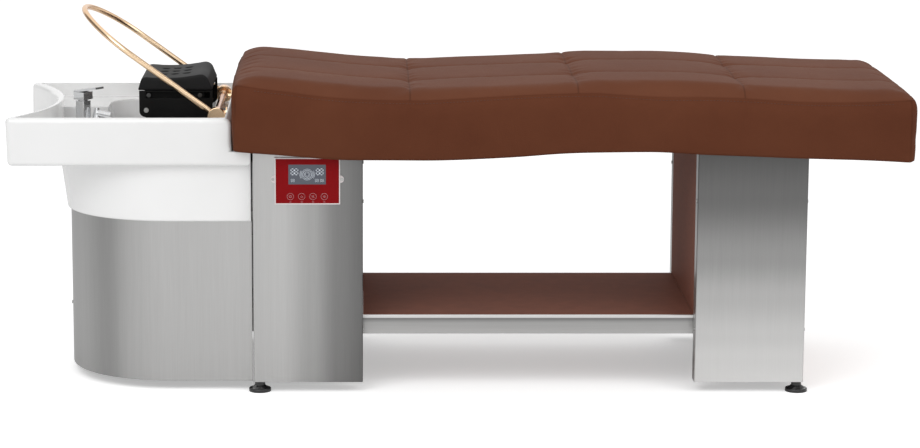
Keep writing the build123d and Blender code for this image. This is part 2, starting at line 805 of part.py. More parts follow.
basin -= post(tap_x, 0, deck_z - 2 * overrun, deck_z + overrun, tap_shank_radius + seat_gap)
basin -= post(spray_x, 0, deck_z - 2 * overrun, deck_z + overrun,
              spray_base_radius - spray_holder_wall / 2)
basin -= post(bowl_x, 0, bowl_bottom - 2 * overrun, bowl_bottom + overrun, drain_hole_radius)
basin -= post(feed_x, feed_y, basin_tray_bottom, basin_rim, feed_hole_radius)
save("basin", basin)

# Skirt and its frame
skirt_seat_y = nose_bar_y - frame_tube / 2 - screw_head_radius
skirt_seat_share = (1 - (2 * skirt_seat_y / skirt_width) ** skirt_power) ** (1 / skirt_power)
skirt_seat_x = skirt_centre_x - skirt_nose * skirt_seat_share
skirt_screw_places = [(skirt_seat_x, -1, side * (nose_bar_y - frame_tube / 2),
                       nose_bar_z + frame_tube / 2)
                      for side in (-1, 1)]
skirt_shanks = [shank_along_x(*place, screw_length, screw_radius) for place in skirt_screw_places]
skirt = extrude(Pos(Z=skirt_bottom) * skirt_plan(skirt_nose, skirt_width / 2, skirt_end_x),
                basin_base - skirt_bottom)
skirt -= extrude(skirt_plan(skirt_nose - skirt_sheet, skirt_width / 2 - skirt_sheet,
                            skirt_end_x + overrun),
                 basin_base + overrun)
save("basin_skirt", skirt - skirt_shanks)


def skirt_half_width(x):
    """Half width inside the skirt at x."""
    side = skirt_width / 2 - skirt_sheet - seat_gap
    along = max(0, (skirt_centre_x - x) / (skirt_nose - skirt_sheet - seat_gap))
    return side * (1 - along ** skirt_power) ** (1 / skirt_power)


support_top = basin_base
support_low = support_top - frame_tube
support_bars = []
for x in (skirt_end_x - 2 * frame_tube, bowl_x1 - frame_tube / 2, bowl_x0 - frame_tube / 2):
    y = min(skirt_half_width(x), skirt_half_width(x + frame_tube))
    support_bars.append(square_tube(x, x + frame_tube, -y, y, support_low, support_top, "y"))
support_left = bowl_x0 - frame_tube / 2
for side in (-1, 1):
    low, high = sorted((side * (support_rail_y - frame_tube), side * support_rail_y))
    support_bars.append(square_tube(support_left, head_x0, low, high, support_low - frame_tube,
                                    support_low, "x"))
nose_x = skirt_centre_x - (skirt_nose - skirt_sheet - seat_gap) * (
    1 - (nose_bar_y / (skirt_width / 2 - skirt_sheet)) ** skirt_power) ** (1 / skirt_power)
support_bars.append(square_tube(nose_x, nose_x + frame_tube, -nose_bar_y, nose_bar_y,
                                nose_bar_z, nose_bar_z + frame_tube, "y") - skirt_shanks)
for side in (-1, 1):
    low, high = sorted((side * (nose_bar_y - frame_tube), side * nose_bar_y))
    support_bars.append(square_tube(nose_x + frame_tube, head_x0, low, high, nose_bar_z,
                                    nose_bar_z + frame_tube, "x"))
    support_bars.append(square_tube(support_left, support_left + frame_tube, low, high,
                                    nose_bar_z + frame_tube, support_low, "z"))
union_x = (nose_x + frame_tube + support_left) / 2
plate_low = nose_bar_z - mount_plate
plate_y = union_spacing + 2 * union_hex / 3
connection_plate = block(union_x - union_hex, support_left + frame_tube, -plate_y, plate_y, plate_low,
                         nose_bar_z)
for side in (-1, 1):
    connection_plate -= post(union_x, side * union_spacing, plate_low - overrun, nose_bar_z + overrun,
                             union_neck_radius + running_gap)
save("basin_support", *support_bars, connection_plate)

# Mixer tap
tap_turned = Pos(tap_x) * Rot(Z=tap_turn)
tap_body = tap_turned * block(-tap_body_side / 2, tap_body_side / 2, -tap_body_side / 2,
                              tap_body_side / 2, deck_z + tap_flange_height, tap_body_top)
tap_body = fillet(tap_body.edges().filter_by(Axis.Z), tap_body_side / 8)
tap_body += post(tap_x, 0, deck_z, deck_z + tap_flange_height, tap_flange_radius)
shank_low = deck_z - shell - 2 * tap_nut_height
tap_body += post(tap_x, 0, shank_low, deck_z, tap_shank_radius)
tap_body -= post(tap_x, 0, tap_body_top - 2 * tap_nut_height, tap_body_top + overrun,
                 tap_collar_radius + running_gap)
save("tap_body", tap_body)
tap_nut = extrude(Pos(tap_x, 0, deck_z - shell - tap_nut_height) * RegularPolygon(tap_nut_radius, 6),
                  tap_nut_height)
save("tap_nut", tap_nut - post(tap_x, 0, shank_low, deck_z, tap_shank_radius))
cartridge_top = tap_body_top + tap_collar_height
save("tap_cartridge", post(tap_x, 0, tap_body_top - tap_nut_height, cartridge_top, tap_collar_radius))
block_low = cartridge_top + seat_gap
block_top = block_low + tap_block_height
handle = block(-tap_block_side / 2, tap_block_side / 2, -tap_block_side / 2, tap_block_side / 2,
               block_low, block_top)
handle = fillet(handle.edges().filter_by(Axis.Z), tap_lever_thickness / 4)
lever = block(0, tap_block_side / 2 + tap_lever_length, -tap_lever_width / 2, tap_lever_width / 2,
              0, tap_lever_thickness)
lever = Pos(-tap_block_side / 2, 0, block_top - tap_lever_thickness / 2) * Rot(Y=-tap_lever_slope) * lever
save("tap_handle", tap_turned * (handle + lever))

# Hand shower: a conical handle that stands in its holder, with a round spray head
holder_top = deck_z + spray_holder_height
spray_low = deck_z + seat_gap
spray = post(spray_x, 0, spray_low, spray_cone_z, spray_base_radius)
spray += Pos(spray_x, 0, (spray_cone_z + spray_top_z) / 2) * Cone(spray_base_radius, spray_top_radius,
                                                                  spray_top_z - spray_cone_z)
spray_head = Pos(Z=spray_head_length / 2) * Cylinder(spray_head_radius, spray_head_length)
spray_head = Pos(spray_x, 0, spray_head_z) * Rot(Y=90 + spray_head_slope) * spray_head
spray += fillet(spray_head.edges().filter_by(GeomType.CIRCLE), spray_holder_wall / 5)
save("hand_spray", spray - post(spray_x, 0, spray_low - overrun, spray_low + spray_holder_height,
                                spray_bore))
holder = post(spray_x, 0, deck_z, holder_top, spray_base_radius + spray_holder_wall)
holder -= post(spray_x, 0, deck_z - overrun, holder_top + overrun, spray_base_radius + seat_gap)
shank = post(spray_x, 0, shank_low, deck_z, spray_base_radius - spray_holder_wall)
shank += post(spray_x, 0, deck_z - shell - tap_nut_height, deck_z - shell,
              spray_base_radius + spray_holder_wall)
shank -= post(spray_x, 0, shank_low - overrun, deck_z + overrun, spray_bore)
save("spray_holder", holder, shank)

# Supply hoses from the tap to the two threaded unions
supply_hoses = []
unions = []
union_top = nose_bar_z + union_neck_height
thread_low = plate_low - union_hex_height - union_thread_length
for side in (-1, 1):
    hose_x = tap_x - tap_hose_ring / 2
    hose_y = side * tap_hose_ring * math.sin(math.radians(60))
    union_y = side * union_spacing
    drop = shank_low - union_top
    middle_y = (hose_y + union_y) / 2
    route = [(hose_x, hose_y, shank_low), (hose_x, hose_y, shank_low - drop * hose_drop_shares[0]),
             ((hose_x + union_x) / 2, middle_y, shank_low - drop * hose_drop_shares[1]),
             (union_x, union_y, shank_low - drop * hose_drop_shares[2]), (union_x, union_y, union_top)]
    supply_hoses.append(hose(route, supply_hose_bend, supply_hose_radius))
    union = post(union_x, union_y, thread_low, plate_low - union_hex_height, union_thread_radius)
    union += extrude(Pos(union_x, union_y, plate_low) * RegularPolygon(union_hex / 2, 6),
                     -union_hex_height)
    union += post(union_x, union_y, plate_low - union_hex_height, union_top, union_neck_radius)
    unions.append(union - post(union_x, union_y, thread_low - overrun, union_top + overrun, union_bore))
    nut = extrude(Pos(union_x, union_y, nose_bar_z) * RegularPolygon(union_hex / 2, 6), union_nut_height)
    unions.append(nut - post(union_x, union_y, nose_bar_z - overrun, union_top, union_neck_radius))
loop_start_x = tap_x + tap_hose_ring
loop_x = (loop_start_x + spray_x) / 2
spray_route = [(loop_start_x, 0, shank_low), (loop_start_x, 0, spray_hose_turn_z),
               (loop_x - spray_hose_half_width, 0, spray_hose_low_z),
               (loop_x, 0, spray_hose_low_z - spray_hose_drop),
               (loop_x + spray_hose_half_width, 0, spray_hose_low_z), (spray_x, 0, spray_hose_turn_z),
               (spray_x, 0, spray_low + spray_holder_height)]
supply_hoses.append(hose(spray_route, spray_hose_bend, spray_hose_radius))
save("supply_hoses", *supply_hoses)
save("supply_unions", *unions)

# Drain
trap_low = trap_top - trap_height
drain = post(bowl_x, 0, bowl_bottom, bowl_bottom + drain_flange_height, drain_flange_radius)
drain += post(bowl_x, 0, bowl_bottom - 2 * shell, bowl_bottom, drain_hole_radius - seat_gap)
drain += post(bowl_x, 0, trap_top, bowl_bottom, drain_pipe_radius)
strainer_low = bowl_bottom + drain_flange_height - strainer_height
drain -= post(bowl_x, 0, strainer_low, bowl_bottom + overrun, strainer_radius + seat_gap)
drain -= post(bowl_x, 0, trap_top - overrun, bowl_bottom, drain_pipe_radius - drain_pipe_wall)
save("drain_flange", drain)
strainer = post(bowl_x, 0, strainer_low, strainer_low + strainer_height, strainer_radius)
strainer -= post(bowl_x, 0, strainer_low + strainer_sheet, bowl_bottom + overrun,
                 strainer_radius - strainer_sheet)
for step in range(strainer_hole_count):
    turned = Pos(bowl_x) * Rot(Z=360 * step / strainer_hole_count) * Pos(strainer_ring_radius)
    strainer -= turned * post(0, 0, strainer_low - overrun, strainer_low + overrun, strainer_hole_radius)
save("hair_strainer", Pos(Z=seat_gap) * strainer)
boss_z = trap_low + trap_height * trap_outlet_share
boss_x = bowl_x + trap_radius + drain_pipe_wall * 3
trap = post(bowl_x, 0, trap_low, trap_top, trap_radius)
trap += bar_along_x(0, boss_z, bowl_x, boss_x, drain_pipe_radius + drain_pipe_wall)
trap -= post(bowl_x, 0, trap_low + drain_pipe_wall, trap_top - drain_pipe_wall,
             trap_radius - drain_pipe_wall)
trap -= post(bowl_x, 0, trap_top - overrun, trap_top + overrun, drain_pipe_radius - drain_pipe_wall)
trap -= bar_along_x(0, boss_z, bowl_x, boss_x + overrun, drain_pipe_radius - drain_pipe_wall)
save("waste_trap", trap)
waste_x = bowl_x + waste_drop_from_drain
waste_route = [(boss_x, 0, boss_z), (waste_x, 0, boss_z), (waste_x, 0, waste_end_z)]
waste = hose(waste_route, waste_bend, drain_pipe_radius)
waste += post(waste_x, 0, waste_end_z, waste_end_z + waste_collar_length, waste_collar_radius)
save("waste_pipe", waste - hose(waste_route, waste_bend, drain_pipe_radius - drain_pipe_wall))

# Neck rest: a rubber saddle on a slotted bracket that stands on two bars over the bowl
rest_x1 = bed_head_x - rest_from_bed
rest_x0 = rest_x1 - rest_length
rest_y = rest_width / 2
rest_height = rest_top - rest_bottom
rest_side = Polyline((rest_x0 + rest_height * rest_lean_share, rest_top - rest_edge / 2),
                     (rest_x0, rest_bottom),
                     (rest_x1, rest_bottom), (rest_x1 - rest_edge, rest_top - rest_nose_round / 2))
nose_top = (rest_x1 - rest_nose_round - rest_edge, rest_top + rest_hump)
rest_nose = ThreePointArc(rest_side @ 1, (rest_x1 - rest_nose_round * rest_lean_share - rest_edge,
                                          rest_top), nose_top)
crest = (rest_x0 + rest_height * rest_lean_share + rest_edge, rest_top)
rest_middle = ThreePointArc(nose_top, ((nose_top[0] + crest[0]) / 2, rest_top - rest_saddle / 2), crest)
crest_side = (crest[0] - rest_edge * rest_round_share, rest_top - rest_edge * (1 - rest_round_share))
rest_shoulder = ThreePointArc(crest, crest_side, rest_side @ 0)
cushion = extrude(Plane.XZ * make_face(rest_side + rest_nose + rest_middle + rest_shoulder), rest_y,
                  both=True)
rest_rows = [(row - (rest_hole_rows - 1) / 2) for row in range(rest_hole_rows)]
for column in rest_rows:
    for row in rest_rows:
        x = (rest_x0 + rest_x1) / 2 - rest_hole_shift + column * rest_hole_pitch_x
        y = row * rest_hole_pitch_y
        cushion -= block(x - rest_hole_length / 2, x + rest_hole_length / 2, y - rest_hole_width / 2,
                         y + rest_hole_width / 2, rest_top - rest_hole_depth, rest_top + overrun)
save("neck_cushion", cushion)

bar_top = ledge_z + rest_bar_height
base_top = bar_top + bracket_sheet
bracket_x0 = rest_x0 + bracket_sheet
bracket_x1 = bracket_x0 + bracket_length
bracket_y = bracket_width / 2
slot_x0 = bracket_x0 + slot_front_margin
slot = block(slot_x0, slot_x0 + slot_length, -bracket_width, bracket_width,
             slot_z - slot_height / 2, slot_z + slot_height / 2)
base_x0 = bracket_x0 + bracket_round
bracket = block(base_x0, base_x0 + bracket_base_length, -bracket_y, bracket_y, bar_top, base_top)
for side in (-1, 1):
    low, high = sorted((side * (bracket_y - bracket_sheet), side * bracket_y))
    plate = block(bracket_x0, bracket_x1, low, high, base_top, bracket_top)
    bracket += fillet(plate.edges().filter_by(Axis.Y).group_by(Axis.Z)[0], bracket_round)
bracket -= slot
carrier_y = bracket_y - bracket_sheet - seat_gap
carrier_x0 = slot_x0 + carrier_pin_setback - 2 * carrier_head_radius
carrier_x1 = carrier_x0 + carrier_pin_spacing + 4 * carrier_head_radius
carrier = block(carrier_x0, carrier_x1, -carrier_y, carrier_y, rest_bottom - carrier_depth, rest_bottom)
carrier -= block(carrier_x0 - overrun, carrier_x1 + overrun, -carrier_y + bracket_sheet,
                 carrier_y - bracket_sheet,
                 rest_bottom - carrier_depth - overrun, rest_bottom - bracket_sheet)
save("neck_carrier", carrier)
pins = []
for side in (-1, 1):
    for x in (slot_x0 + carrier_pin_setback, slot_x0 + carrier_pin_setback + carrier_pin_spacing):
        low, high = sorted((side * carrier_y, side * (bracket_y + seat_gap)))
        head_low, head_high = sorted((side * (bracket_y + seat_gap),
                                      side * (bracket_y + carrier_head_height)))
        pins.append(bar_along_y(x, slot_z, low, high, carrier_pin_radius)
                    + bar_along_y(x, slot_z, head_low, head_high, carrier_head_radius))
save("carrier_pins", *pins)

rest_bars = []
bracket_screws = []
for x in (base_x0 + rest_bar_width / 2, base_x0 + bracket_base_length - rest_bar_width / 2):
    rest_bar = block(x - rest_bar_width / 2, x + rest_bar_width / 2, -basin_y + basin_wall + seat_gap,
                     basin_y - basin_wall - seat_gap, ledge_z, bar_top)
    for side in (-1, 1):
        y = side * (bracket_y - 3 * bracket_screw_head)
        screw = post(x, y, ledge_z, base_top, bracket_screw_radius)
        bracket_screws.append(screw + post(x, y, base_top, base_top + bracket_screw_radius,
                                           bracket_screw_head))
        rest_bar -= post(x, y, ledge_z - overrun, bar_top + overrun, bracket_screw_radius)
        bracket -= post(x, y, bar_top - overrun, base_top + overrun / 4, bracket_screw_radius)
    rest_bars.append(rest_bar)
side_screw_x = bracket_x0 + bracket_side_screw_inset
side_screw_z = base_top + bracket_side_screw_rise
for side in (-1, 1):
    low, high = sorted((side * (bracket_y - bracket_sheet), side * bracket_y))
    head_low, head_high = sorted((side * bracket_y, side * (bracket_y + bracket_screw_radius)))
    shank = bar_along_y(side_screw_x, side_screw_z, low, high, bracket_screw_radius)
    bracket -= shank
    bracket_screws.append(shank + bar_along_y(side_screw_x, side_screw_z, head_low, head_high,
                                              bracket_screw_head))
save("neck_bracket", bracket)
save("rest_bars", *rest_bars)
save("bracket_screws", *bracket_screws)

# Circulation hoop on its fixed cross tube
tilt = math.radians(hoop_angle)
hoop_plane = Plane(origin=(pivot_x, 0, hoop_pivot_z), x_dir=(-math.cos(tilt), 0, math.sin(tilt)),
                   z_dir=(-math.sin(tilt), 0, -math.cos(tilt)))
leg_end = hoop_reach - hoop_end_depth
spread = hoop_half_width - hoop_shoulder
crown_rest = hoop_end_depth - hoop_shoulder
crown_back = (spread ** 2 - crown_rest ** 2) / (2 * crown_rest)
shoulder_turn = math.atan2(crown_back, spread)


def on_shoulder(side, turn):
    """Point on a shoulder arc, counted from the end of the leg."""
    return (leg_end + hoop_shoulder * math.sin(turn), side * (spread + hoop_shoulder * math.cos(turn)))


near_arc = ThreePointArc((leg_end, -hoop_half_width), on_shoulder(-1, shoulder_turn / 2),
                         on_shoulder(-1, shoulder_turn))
crown_arc = ThreePointArc(on_shoulder(-1, shoulder_turn), (hoop_reach, 0), on_shoulder(1, shoulder_turn))
far_arc = ThreePointArc(on_shoulder(1, shoulder_turn), on_shoulder(1, shoulder_turn / 2),
                        (leg_end, hoop_half_width))
hoop_line = (Line((0, -hoop_half_width), (leg_end, -hoop_half_width)) + near_arc + crown_arc + far_arc
             + Line((leg_end, hoop_half_width), (0, hoop_half_width)))
hoop_path = hoop_plane * hoop_line


def swept_hoop(radius):
    """Round solid along the hoop's path."""
    profile = Plane(origin=hoop_path.wire() @ 0, z_dir=hoop_path.wire() % 0) * Circle(radius)
    return sweep(profile, hoop_path.wire())


hoop = swept_hoop(hoop_tube_radius)
for side in (-1, 1):
    low, high = sorted((side * (hoop_half_width - hub_overhang),
                        side * (hoop_half_width - hub_overhang + hub_length)))
    hub = bar_along_y(pivot_x, hoop_pivot_z, low, high, hub_radius)
    hoop += fillet(hub.edges().filter_by(GeomType.CIRCLE), hoop_tube_wall)
hoop -= swept_hoop(hoop_tube_radius - hoop_tube_wall)
tube_end = hoop_half_width - hub_overhang - seat_gap
spigot_end = tube_end + spigot_length
hoop -= bar_along_y(pivot_x, hoop_pivot_z, -spigot_end - seat_gap, spigot_end + seat_gap,
                    spigot_radius + running_gap)
save("circulation_hoop", hoop)
cross_tube = bar_along_y(pivot_x, hoop_pivot_z, -tube_end, tube_end, cross_tube_radius)
cross_tube += bar_along_y(pivot_x, hoop_pivot_z, -spigot_end, spigot_end, spigot_radius)
nipple_low = hoop_pivot_z - 2 * cross_tube_radius
cross_tube += post(feed_x, feed_y, nipple_low, hoop_pivot_z, feed_nipple_radius)
cross_tube -= bar_along_y(pivot_x, hoop_pivot_z, -spigot_end - overrun, spigot_end + overrun,
                          spigot_radius - hoop_tube_wall)
save("hoop_cross_tube", cross_tube)
wall_x = basin_step_x - basin_wall
hoop_brackets = []
for side in (-1, 1):
    y = side * hoop_bracket_spacing / 2
    bracket = bar_along_y(pivot_x, hoop_pivot_z, y - hoop_bracket_width / 2, y + hoop_bracket_width / 2,
                          hoop_bracket_ring)
    bracket += bar_along_x(y, hoop_pivot_z, pivot_x, wall_x, hoop_bracket_radius)
    bracket += bar_along_x(y, hoop_pivot_z, wall_x - hoop_bracket_foot, wall_x, hoop_bracket_foot_radius)
    hoop_brackets.append(bracket - bar_along_y(pivot_x, hoop_pivot_z, -tube_end, tube_end,
                                               cross_tube_radius))
save("hoop_brackets", *hoop_brackets)

# Pump, tank and heater in the head pedestal
tray_top = floor_gap + frame_tube + tray_sheet
equipment_x = (head_x0 + head_x1) / 2
tray_half = pedestal_length / 2 - cover_sheet - frame_tube - seat_gap
save("equipment_tray", block(equipment_x - tray_half, equipment_x + tray_half, -tube_y1, tube_y1,
                             tray_top - tray_sheet, tray_top))
port_z = tray_top + 2 * pump_base
tank_top = tray_top + tank_height
tank_y = half_width - tank_cover_gap - tank_radius
tank_port_y = tank_y - tank_radius - pump_port_length
tank = post(equipment_x, tank_y, tray_top, tank_top, tank_radius)
tank += bar_along_y(equipment_x, port_z, tank_port_y, tank_y - tank_radius / 2, pump_port_radius)
tank -= post(equipment_x, tank_y, tray_top + tank_wall, tank_top - tank_wall, tank_radius - tank_wall)
tank -= post(equipment_x, tank_y, tank_top - overrun, tank_top + overrun, tank_neck_radius)
tank -= bar_along_y(equipment_x, port_z, tank_port_y - overrun, tank_y - tank_radius / 2,
                    pump_port_radius - tank_wall)
save("water_tank", tank)
heater = post(equipment_x, tank_y, tank_top, tank_top + heater_flange_height, heater_flange_radius)
heater += post(equipment_x, tank_y, tank_top, tank_top + 3 * heater_flange_height, tank_neck_radius)
for side in (-1, 1):
    heater += post(equipment_x + side * heater_rod_spacing / 2, tank_y, tank_top - heater_rod_length,
                   tank_top, heater_rod_radius)
save("tank_heater", heater)
pump_top = tray_top + pump_base + pump_height
pump_port_y = pump_y + pump_radius + pump_port_length
pump = post(equipment_x, pump_y, tray_top + pump_base, pump_top, pump_radius)
pump += block(equipment_x - pump_radius, equipment_x + pump_radius, pump_y - pump_radius,
              pump_y + pump_radius, tray_top, tray_top + pump_base)
pump += bar_along_y(equipment_x, port_z, pump_y, pump_port_y, pump_port_radius)
pump += post(equipment_x, pump_y, pump_top, pump_top + pump_port_length, pump_port_radius)
save("pump", pump)
save("link_hose", bar_along_y(equipment_x, port_z, pump_port_y, tank_port_y, link_hose_radius))
feed_low_z = feed_pass_z - 2 * drain_pipe_radius
feed_route = [(feed_x, feed_y, nipple_low), (feed_x, feed_y, feed_pass_z),
              (equipment_x, feed_y, feed_pass_z),
              (equipment_x, pump_y, feed_low_z), (equipment_x, pump_y, pump_top + pump_port_length)]
save("feed_hose", hose(feed_route, feed_hose_bend, feed_hose_radius))
print("hose bend radii", supply_hose_bend, spray_hose_bend, waste_bend, feed_hose_bend)

# Power inlet gland, with no cable
gland = bar_along_y(equipment_x, gland_z, half_width, half_width + gland_height, gland_radius)
gland += bar_along_y(equipment_x, gland_z, half_width - gland_height, half_width, gland_radius / 2)
save("power_gland", gland - bar_along_y(equipment_x, gland_z, half_width - overrun,
                                        half_width + overrun, gland_bore))

# Control panel
glass_front = panel_front + panel_glass_recess
glass_back = glass_front + panel_glass
panel_frame = block(panel_x0, panel_x1, panel_front, -half_width, panel_z0, panel_top)
for x in (panel_x0, panel_x1):
    panel_frame += bar_along_y(x, ear_z, ear_front, -half_width, panel_ear_radius)
panel_frame -= block(glass_x0, glass_x1, panel_front - overrun, -half_width + overrun, glass_z0, glass_z1)
save("panel_frame", panel_frame - panel_shanks)
lcd_x0 = panel_x0 + lcd_left_margin
lcd_z1 = panel_top - lcd_top_margin
lcd = block(lcd_x0, lcd_x0 + lcd_length, glass_front, glass_front + lcd_thickness, lcd_z1 - lcd_height,
            lcd_z1)
save("lcd_display", lcd)
save("panel_glass", block(glass_x0, glass_x1, glass_front, glass_back, glass_z0, glass_z1) - lcd)
keys = [bar_along_y(lcd_x0 + key_margin + step * key_pitch, panel_top - key_drop,
                    glass_front - key_height, glass_front, key_radius) for step in range(key_count)]
save("touch_keys", *keys)
save("panel_screws", *[bar_along_y(x, ear_z, ear_front - panel_screw_height, ear_front,
                                   panel_screw_radius) + shank
                       for x, shank in zip(panel_screw_xs, panel_shanks)])
housing = block(housing_x0, housing_x1, glass_back, housing_back, housing_z0, housing_z1)
housing -= block(housing_x0 + housing_wall, housing_x1 - housing_wall, glass_back - overrun,
                 housing_back - housing_wall, housing_z0 + housing_wall, housing_z1 - housing_wall)
save("panel_housing", housing)
board_back = (glass_back + housing_back) / 2
save("circuit_board", block(housing_x0 + housing_wall, housing_x1 - housing_wall,
                            board_back - circuit_board_thickness,
                            board_back, housing_z0 + housing_wall, housing_z1 - housing_wall))

# Pan head screws of the covers and the skirt
save("sheet_screws", *[screw_along_x(*place, screw_length, screw_radius, screw_head_height,
                                     screw_head_radius)
                       for place in screw_places + skirt_screw_places])
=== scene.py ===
import bmesh
import bpy
import math
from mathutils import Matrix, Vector
from mathutils.bvhtree import BVHTree


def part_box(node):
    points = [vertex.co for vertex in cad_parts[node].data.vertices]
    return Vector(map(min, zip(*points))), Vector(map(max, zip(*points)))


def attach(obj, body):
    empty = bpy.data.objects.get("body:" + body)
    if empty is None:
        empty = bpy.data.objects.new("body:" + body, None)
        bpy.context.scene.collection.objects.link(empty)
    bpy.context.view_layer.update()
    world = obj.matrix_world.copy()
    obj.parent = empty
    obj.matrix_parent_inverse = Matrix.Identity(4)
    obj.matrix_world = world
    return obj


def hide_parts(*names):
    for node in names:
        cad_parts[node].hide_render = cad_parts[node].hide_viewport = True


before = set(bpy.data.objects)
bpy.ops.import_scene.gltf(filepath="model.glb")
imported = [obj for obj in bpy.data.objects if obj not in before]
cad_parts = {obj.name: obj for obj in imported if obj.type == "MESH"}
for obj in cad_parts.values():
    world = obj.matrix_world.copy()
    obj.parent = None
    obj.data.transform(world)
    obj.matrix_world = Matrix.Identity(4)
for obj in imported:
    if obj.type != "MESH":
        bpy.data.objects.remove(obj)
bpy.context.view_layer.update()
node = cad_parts

# The studio: a wide pale floor that runs to the horizon, an even white surround with two darker
# panels for the polished metal to pick up, and two large soft lamps. The camera stands in front of
# the long side, a little above the couch.
bpy.ops.object.select_all(action="DESELECT")
bpy.ops.object.camera_add(location=(-0.2165, -6.816, 1.604), rotation=(math.radians(79.456), 0, 0))
camera = bpy.context.object
camera.data.lens = 115.6
camera.data.sensor_width = 36
camera.data.shift_x = 0.1065
bpy.context.scene.camera = camera
bpy.context.scene.view_settings.view_transform = "Standard"


def new_material(name):
    """Material with its node tree, its Principled BSDF and a Texture Coordinate node."""
    material = bpy.data.materials.new(name)
    material.use_nodes = True
    tree = material.node_tree
    return material, tree, tree.nodes["Principled BSDF"], tree.nodes.new("ShaderNodeTexCoord")


def wire(tree, start, end):
    """Link an output socket to an input socket."""
    tree.links.new(end, start)


floor_paint, tree, shader, coords = new_material("studio_floor")
shader.inputs["Base Color"].default_value = (0.9, 0.9, 0.9, 1)
shader.inputs["Roughness"].default_value = 0.9
shader.inputs["Specular IOR Level"].default_value = 0.1
glow = tree.nodes.new("ShaderNodeEmission")
glow.inputs["Strength"].default_value = 0.42
seen = tree.nodes.new("ShaderNodeLightPath")
unseen = tree.nodes.new("ShaderNodeEmission")
unseen.inputs["Strength"].default_value = 0
pick = tree.nodes.new("ShaderNodeMixShader")
both = tree.nodes.new("ShaderNodeAddShader")
wire(tree, seen.outputs["Is Camera Ray"], pick.inputs["Fac"])
wire(tree, unseen.outputs[0], pick.inputs[1])
wire(tree, glow.outputs[0], pick.inputs[2])
wire(tree, shader.outputs[0], both.inputs[0])
wire(tree, pick.outputs[0], both.inputs[1])
wire(tree, both.outputs[0], tree.nodes["Material Output"].inputs["Surface"])
bpy.ops.mesh.primitive_plane_add(size=60)
floor = bpy.context.object
floor.name = "studio_floor"
floor.data.materials.append(floor_paint)

world = bpy.data.worlds.new("studio")
bpy.context.scene.world = world
world.use_nodes = True
tree = world.node_tree
surround = tree.nodes["Background"]
surround.inputs["Color"].default_value = (1, 1, 1, 1)
surround.inputs["Strength"].default_value = 0.7
seen = tree.nodes.new("ShaderNodeLightPath")
direction = tree.nodes.new("ShaderNodeTexCoord")
split = tree.nodes.new("ShaderNodeSeparateXYZ")
wire(tree, direction.outputs["Generated"], split.inputs[0])
panels = tree.nodes.new("ShaderNodeValToRGB")
panels.color_ramp.elements[0].position = 0.0
panels.color_ramp.elements[0].color = (0.2, 0.2, 0.2, 1)
panels.color_ramp.elements[1].position = 1.0
panels.color_ramp.elements[1].color = (0.25, 0.25, 0.25, 1)
panel_levels = ((0.16, 0.2), (0.24, 1.0), (0.6, 1.0), (0.7, 0.52), (0.8, 0.48), (0.86, 1.0), (0.95, 1.0))
for place, level in panel_levels:
    stop = panels.color_ramp.elements.new(place)
    stop.color = (level, level, level, 1)
turn = tree.nodes.new("ShaderNodeMapRange")
turn.inputs["From Min"].default_value = -1
wire(tree, split.outputs["X"], turn.inputs["Value"])
wire(tree, turn.outputs[0], panels.inputs["Fac"])
mirror_light = tree.nodes.new("ShaderNodeBackground")
wire(tree, panels.outputs["Color"], mirror_light.inputs["Color"])
backdrop = tree.nodes.new("ShaderNodeBackground")
backdrop.inputs["Color"].default_value = (1, 1, 1, 1)
glossy = tree.nodes.new("ShaderNodeMixShader")
wire(tree, seen.outputs["Is Glossy Ray"], glossy.inputs["Fac"])
wire(tree, surround.outputs[0], glossy.inputs[1])
wire(tree, mirror_light.outputs[0], glossy.inputs[2])
direct = tree.nodes.new("ShaderNodeMath")
direct.operation = "MAXIMUM"
wire(tree, seen.outputs["Is Camera Ray"], direct.inputs[0])
wire(tree, seen.outputs["Is Transmission Ray"], direct.inputs[1])
final = tree.nodes.new("ShaderNodeMixShader")
wire(tree, direct.outputs[0], final.inputs["Fac"])
wire(tree, glossy.outputs[0], final.inputs[1])
wire(tree, backdrop.outputs[0], final.inputs[2])
wire(tree, final.outputs[0], tree.nodes["World Output"].inputs["Surface"])

lamp_target = Vector((0, 0, 0.4))
for place, size, power in (((-2.2, -3.4, 3.6), 3.2, 78), ((2.8, -2.2, 3.0), 2.6, 33)):
    bpy.ops.object.light_add(type="AREA", location=place)
    lamp = bpy.context.object
    lamp.data.size = size
    lamp.data.energy = power
    lamp.rotation_euler = (lamp_target - Vector(place)).to_track_quat("-Z", "Y").to_euler()

# The pedestal covers, the basin skirt and the shelf rails: 1.5 mm stainless sheet, folded on a brake,
# with a brushed finish. Each sheet's base colour holds a painted reflection: a slow change of grey along
# one axis.


def grain_group():
    """Brushed lines along one axis: a mask for tone and roughness, and one for height."""
    group = bpy.data.node_groups.new("brushed_lines", "ShaderNodeTree")
    for name, kind, way in (("Vector", "NodeSocketVector", "INPUT"),
                            ("Fineness", "NodeSocketFloat", "INPUT"),
                            ("Tone", "NodeSocketFloat", "OUTPUT"),
                            ("Height", "NodeSocketFloat", "OUTPUT")):
        group.interface.new_socket(name, in_out=way, socket_type=kind)
    start = group.nodes.new("NodeGroupInput")
    end = group.nodes.new("NodeGroupOutput")
    lines = group.nodes.new("ShaderNodeTexNoise")
    lines.inputs["Detail"].default_value = 4
    smudge = group.nodes.new("ShaderNodeTexNoise")
    smudge.inputs["Scale"].default_value = 1.4
    blend = group.nodes.new("ShaderNodeMix")
    blend.inputs["Factor"].default_value = 0.35
    for first, second in ((start.outputs["Vector"], lines.inputs["Vector"]),
                          (start.outputs["Fineness"], lines.inputs["Scale"]),
                          (start.outputs["Vector"], smudge.inputs["Vector"]),
                          (lines.outputs["Fac"], blend.inputs["A"]),
                          (smudge.outputs["Fac"], blend.inputs["B"]),
                          (blend.outputs["Result"], end.inputs["Tone"]),
                          (lines.outputs["Fac"], end.inputs["Height"])):
        group.links.new(second, first)
    return group


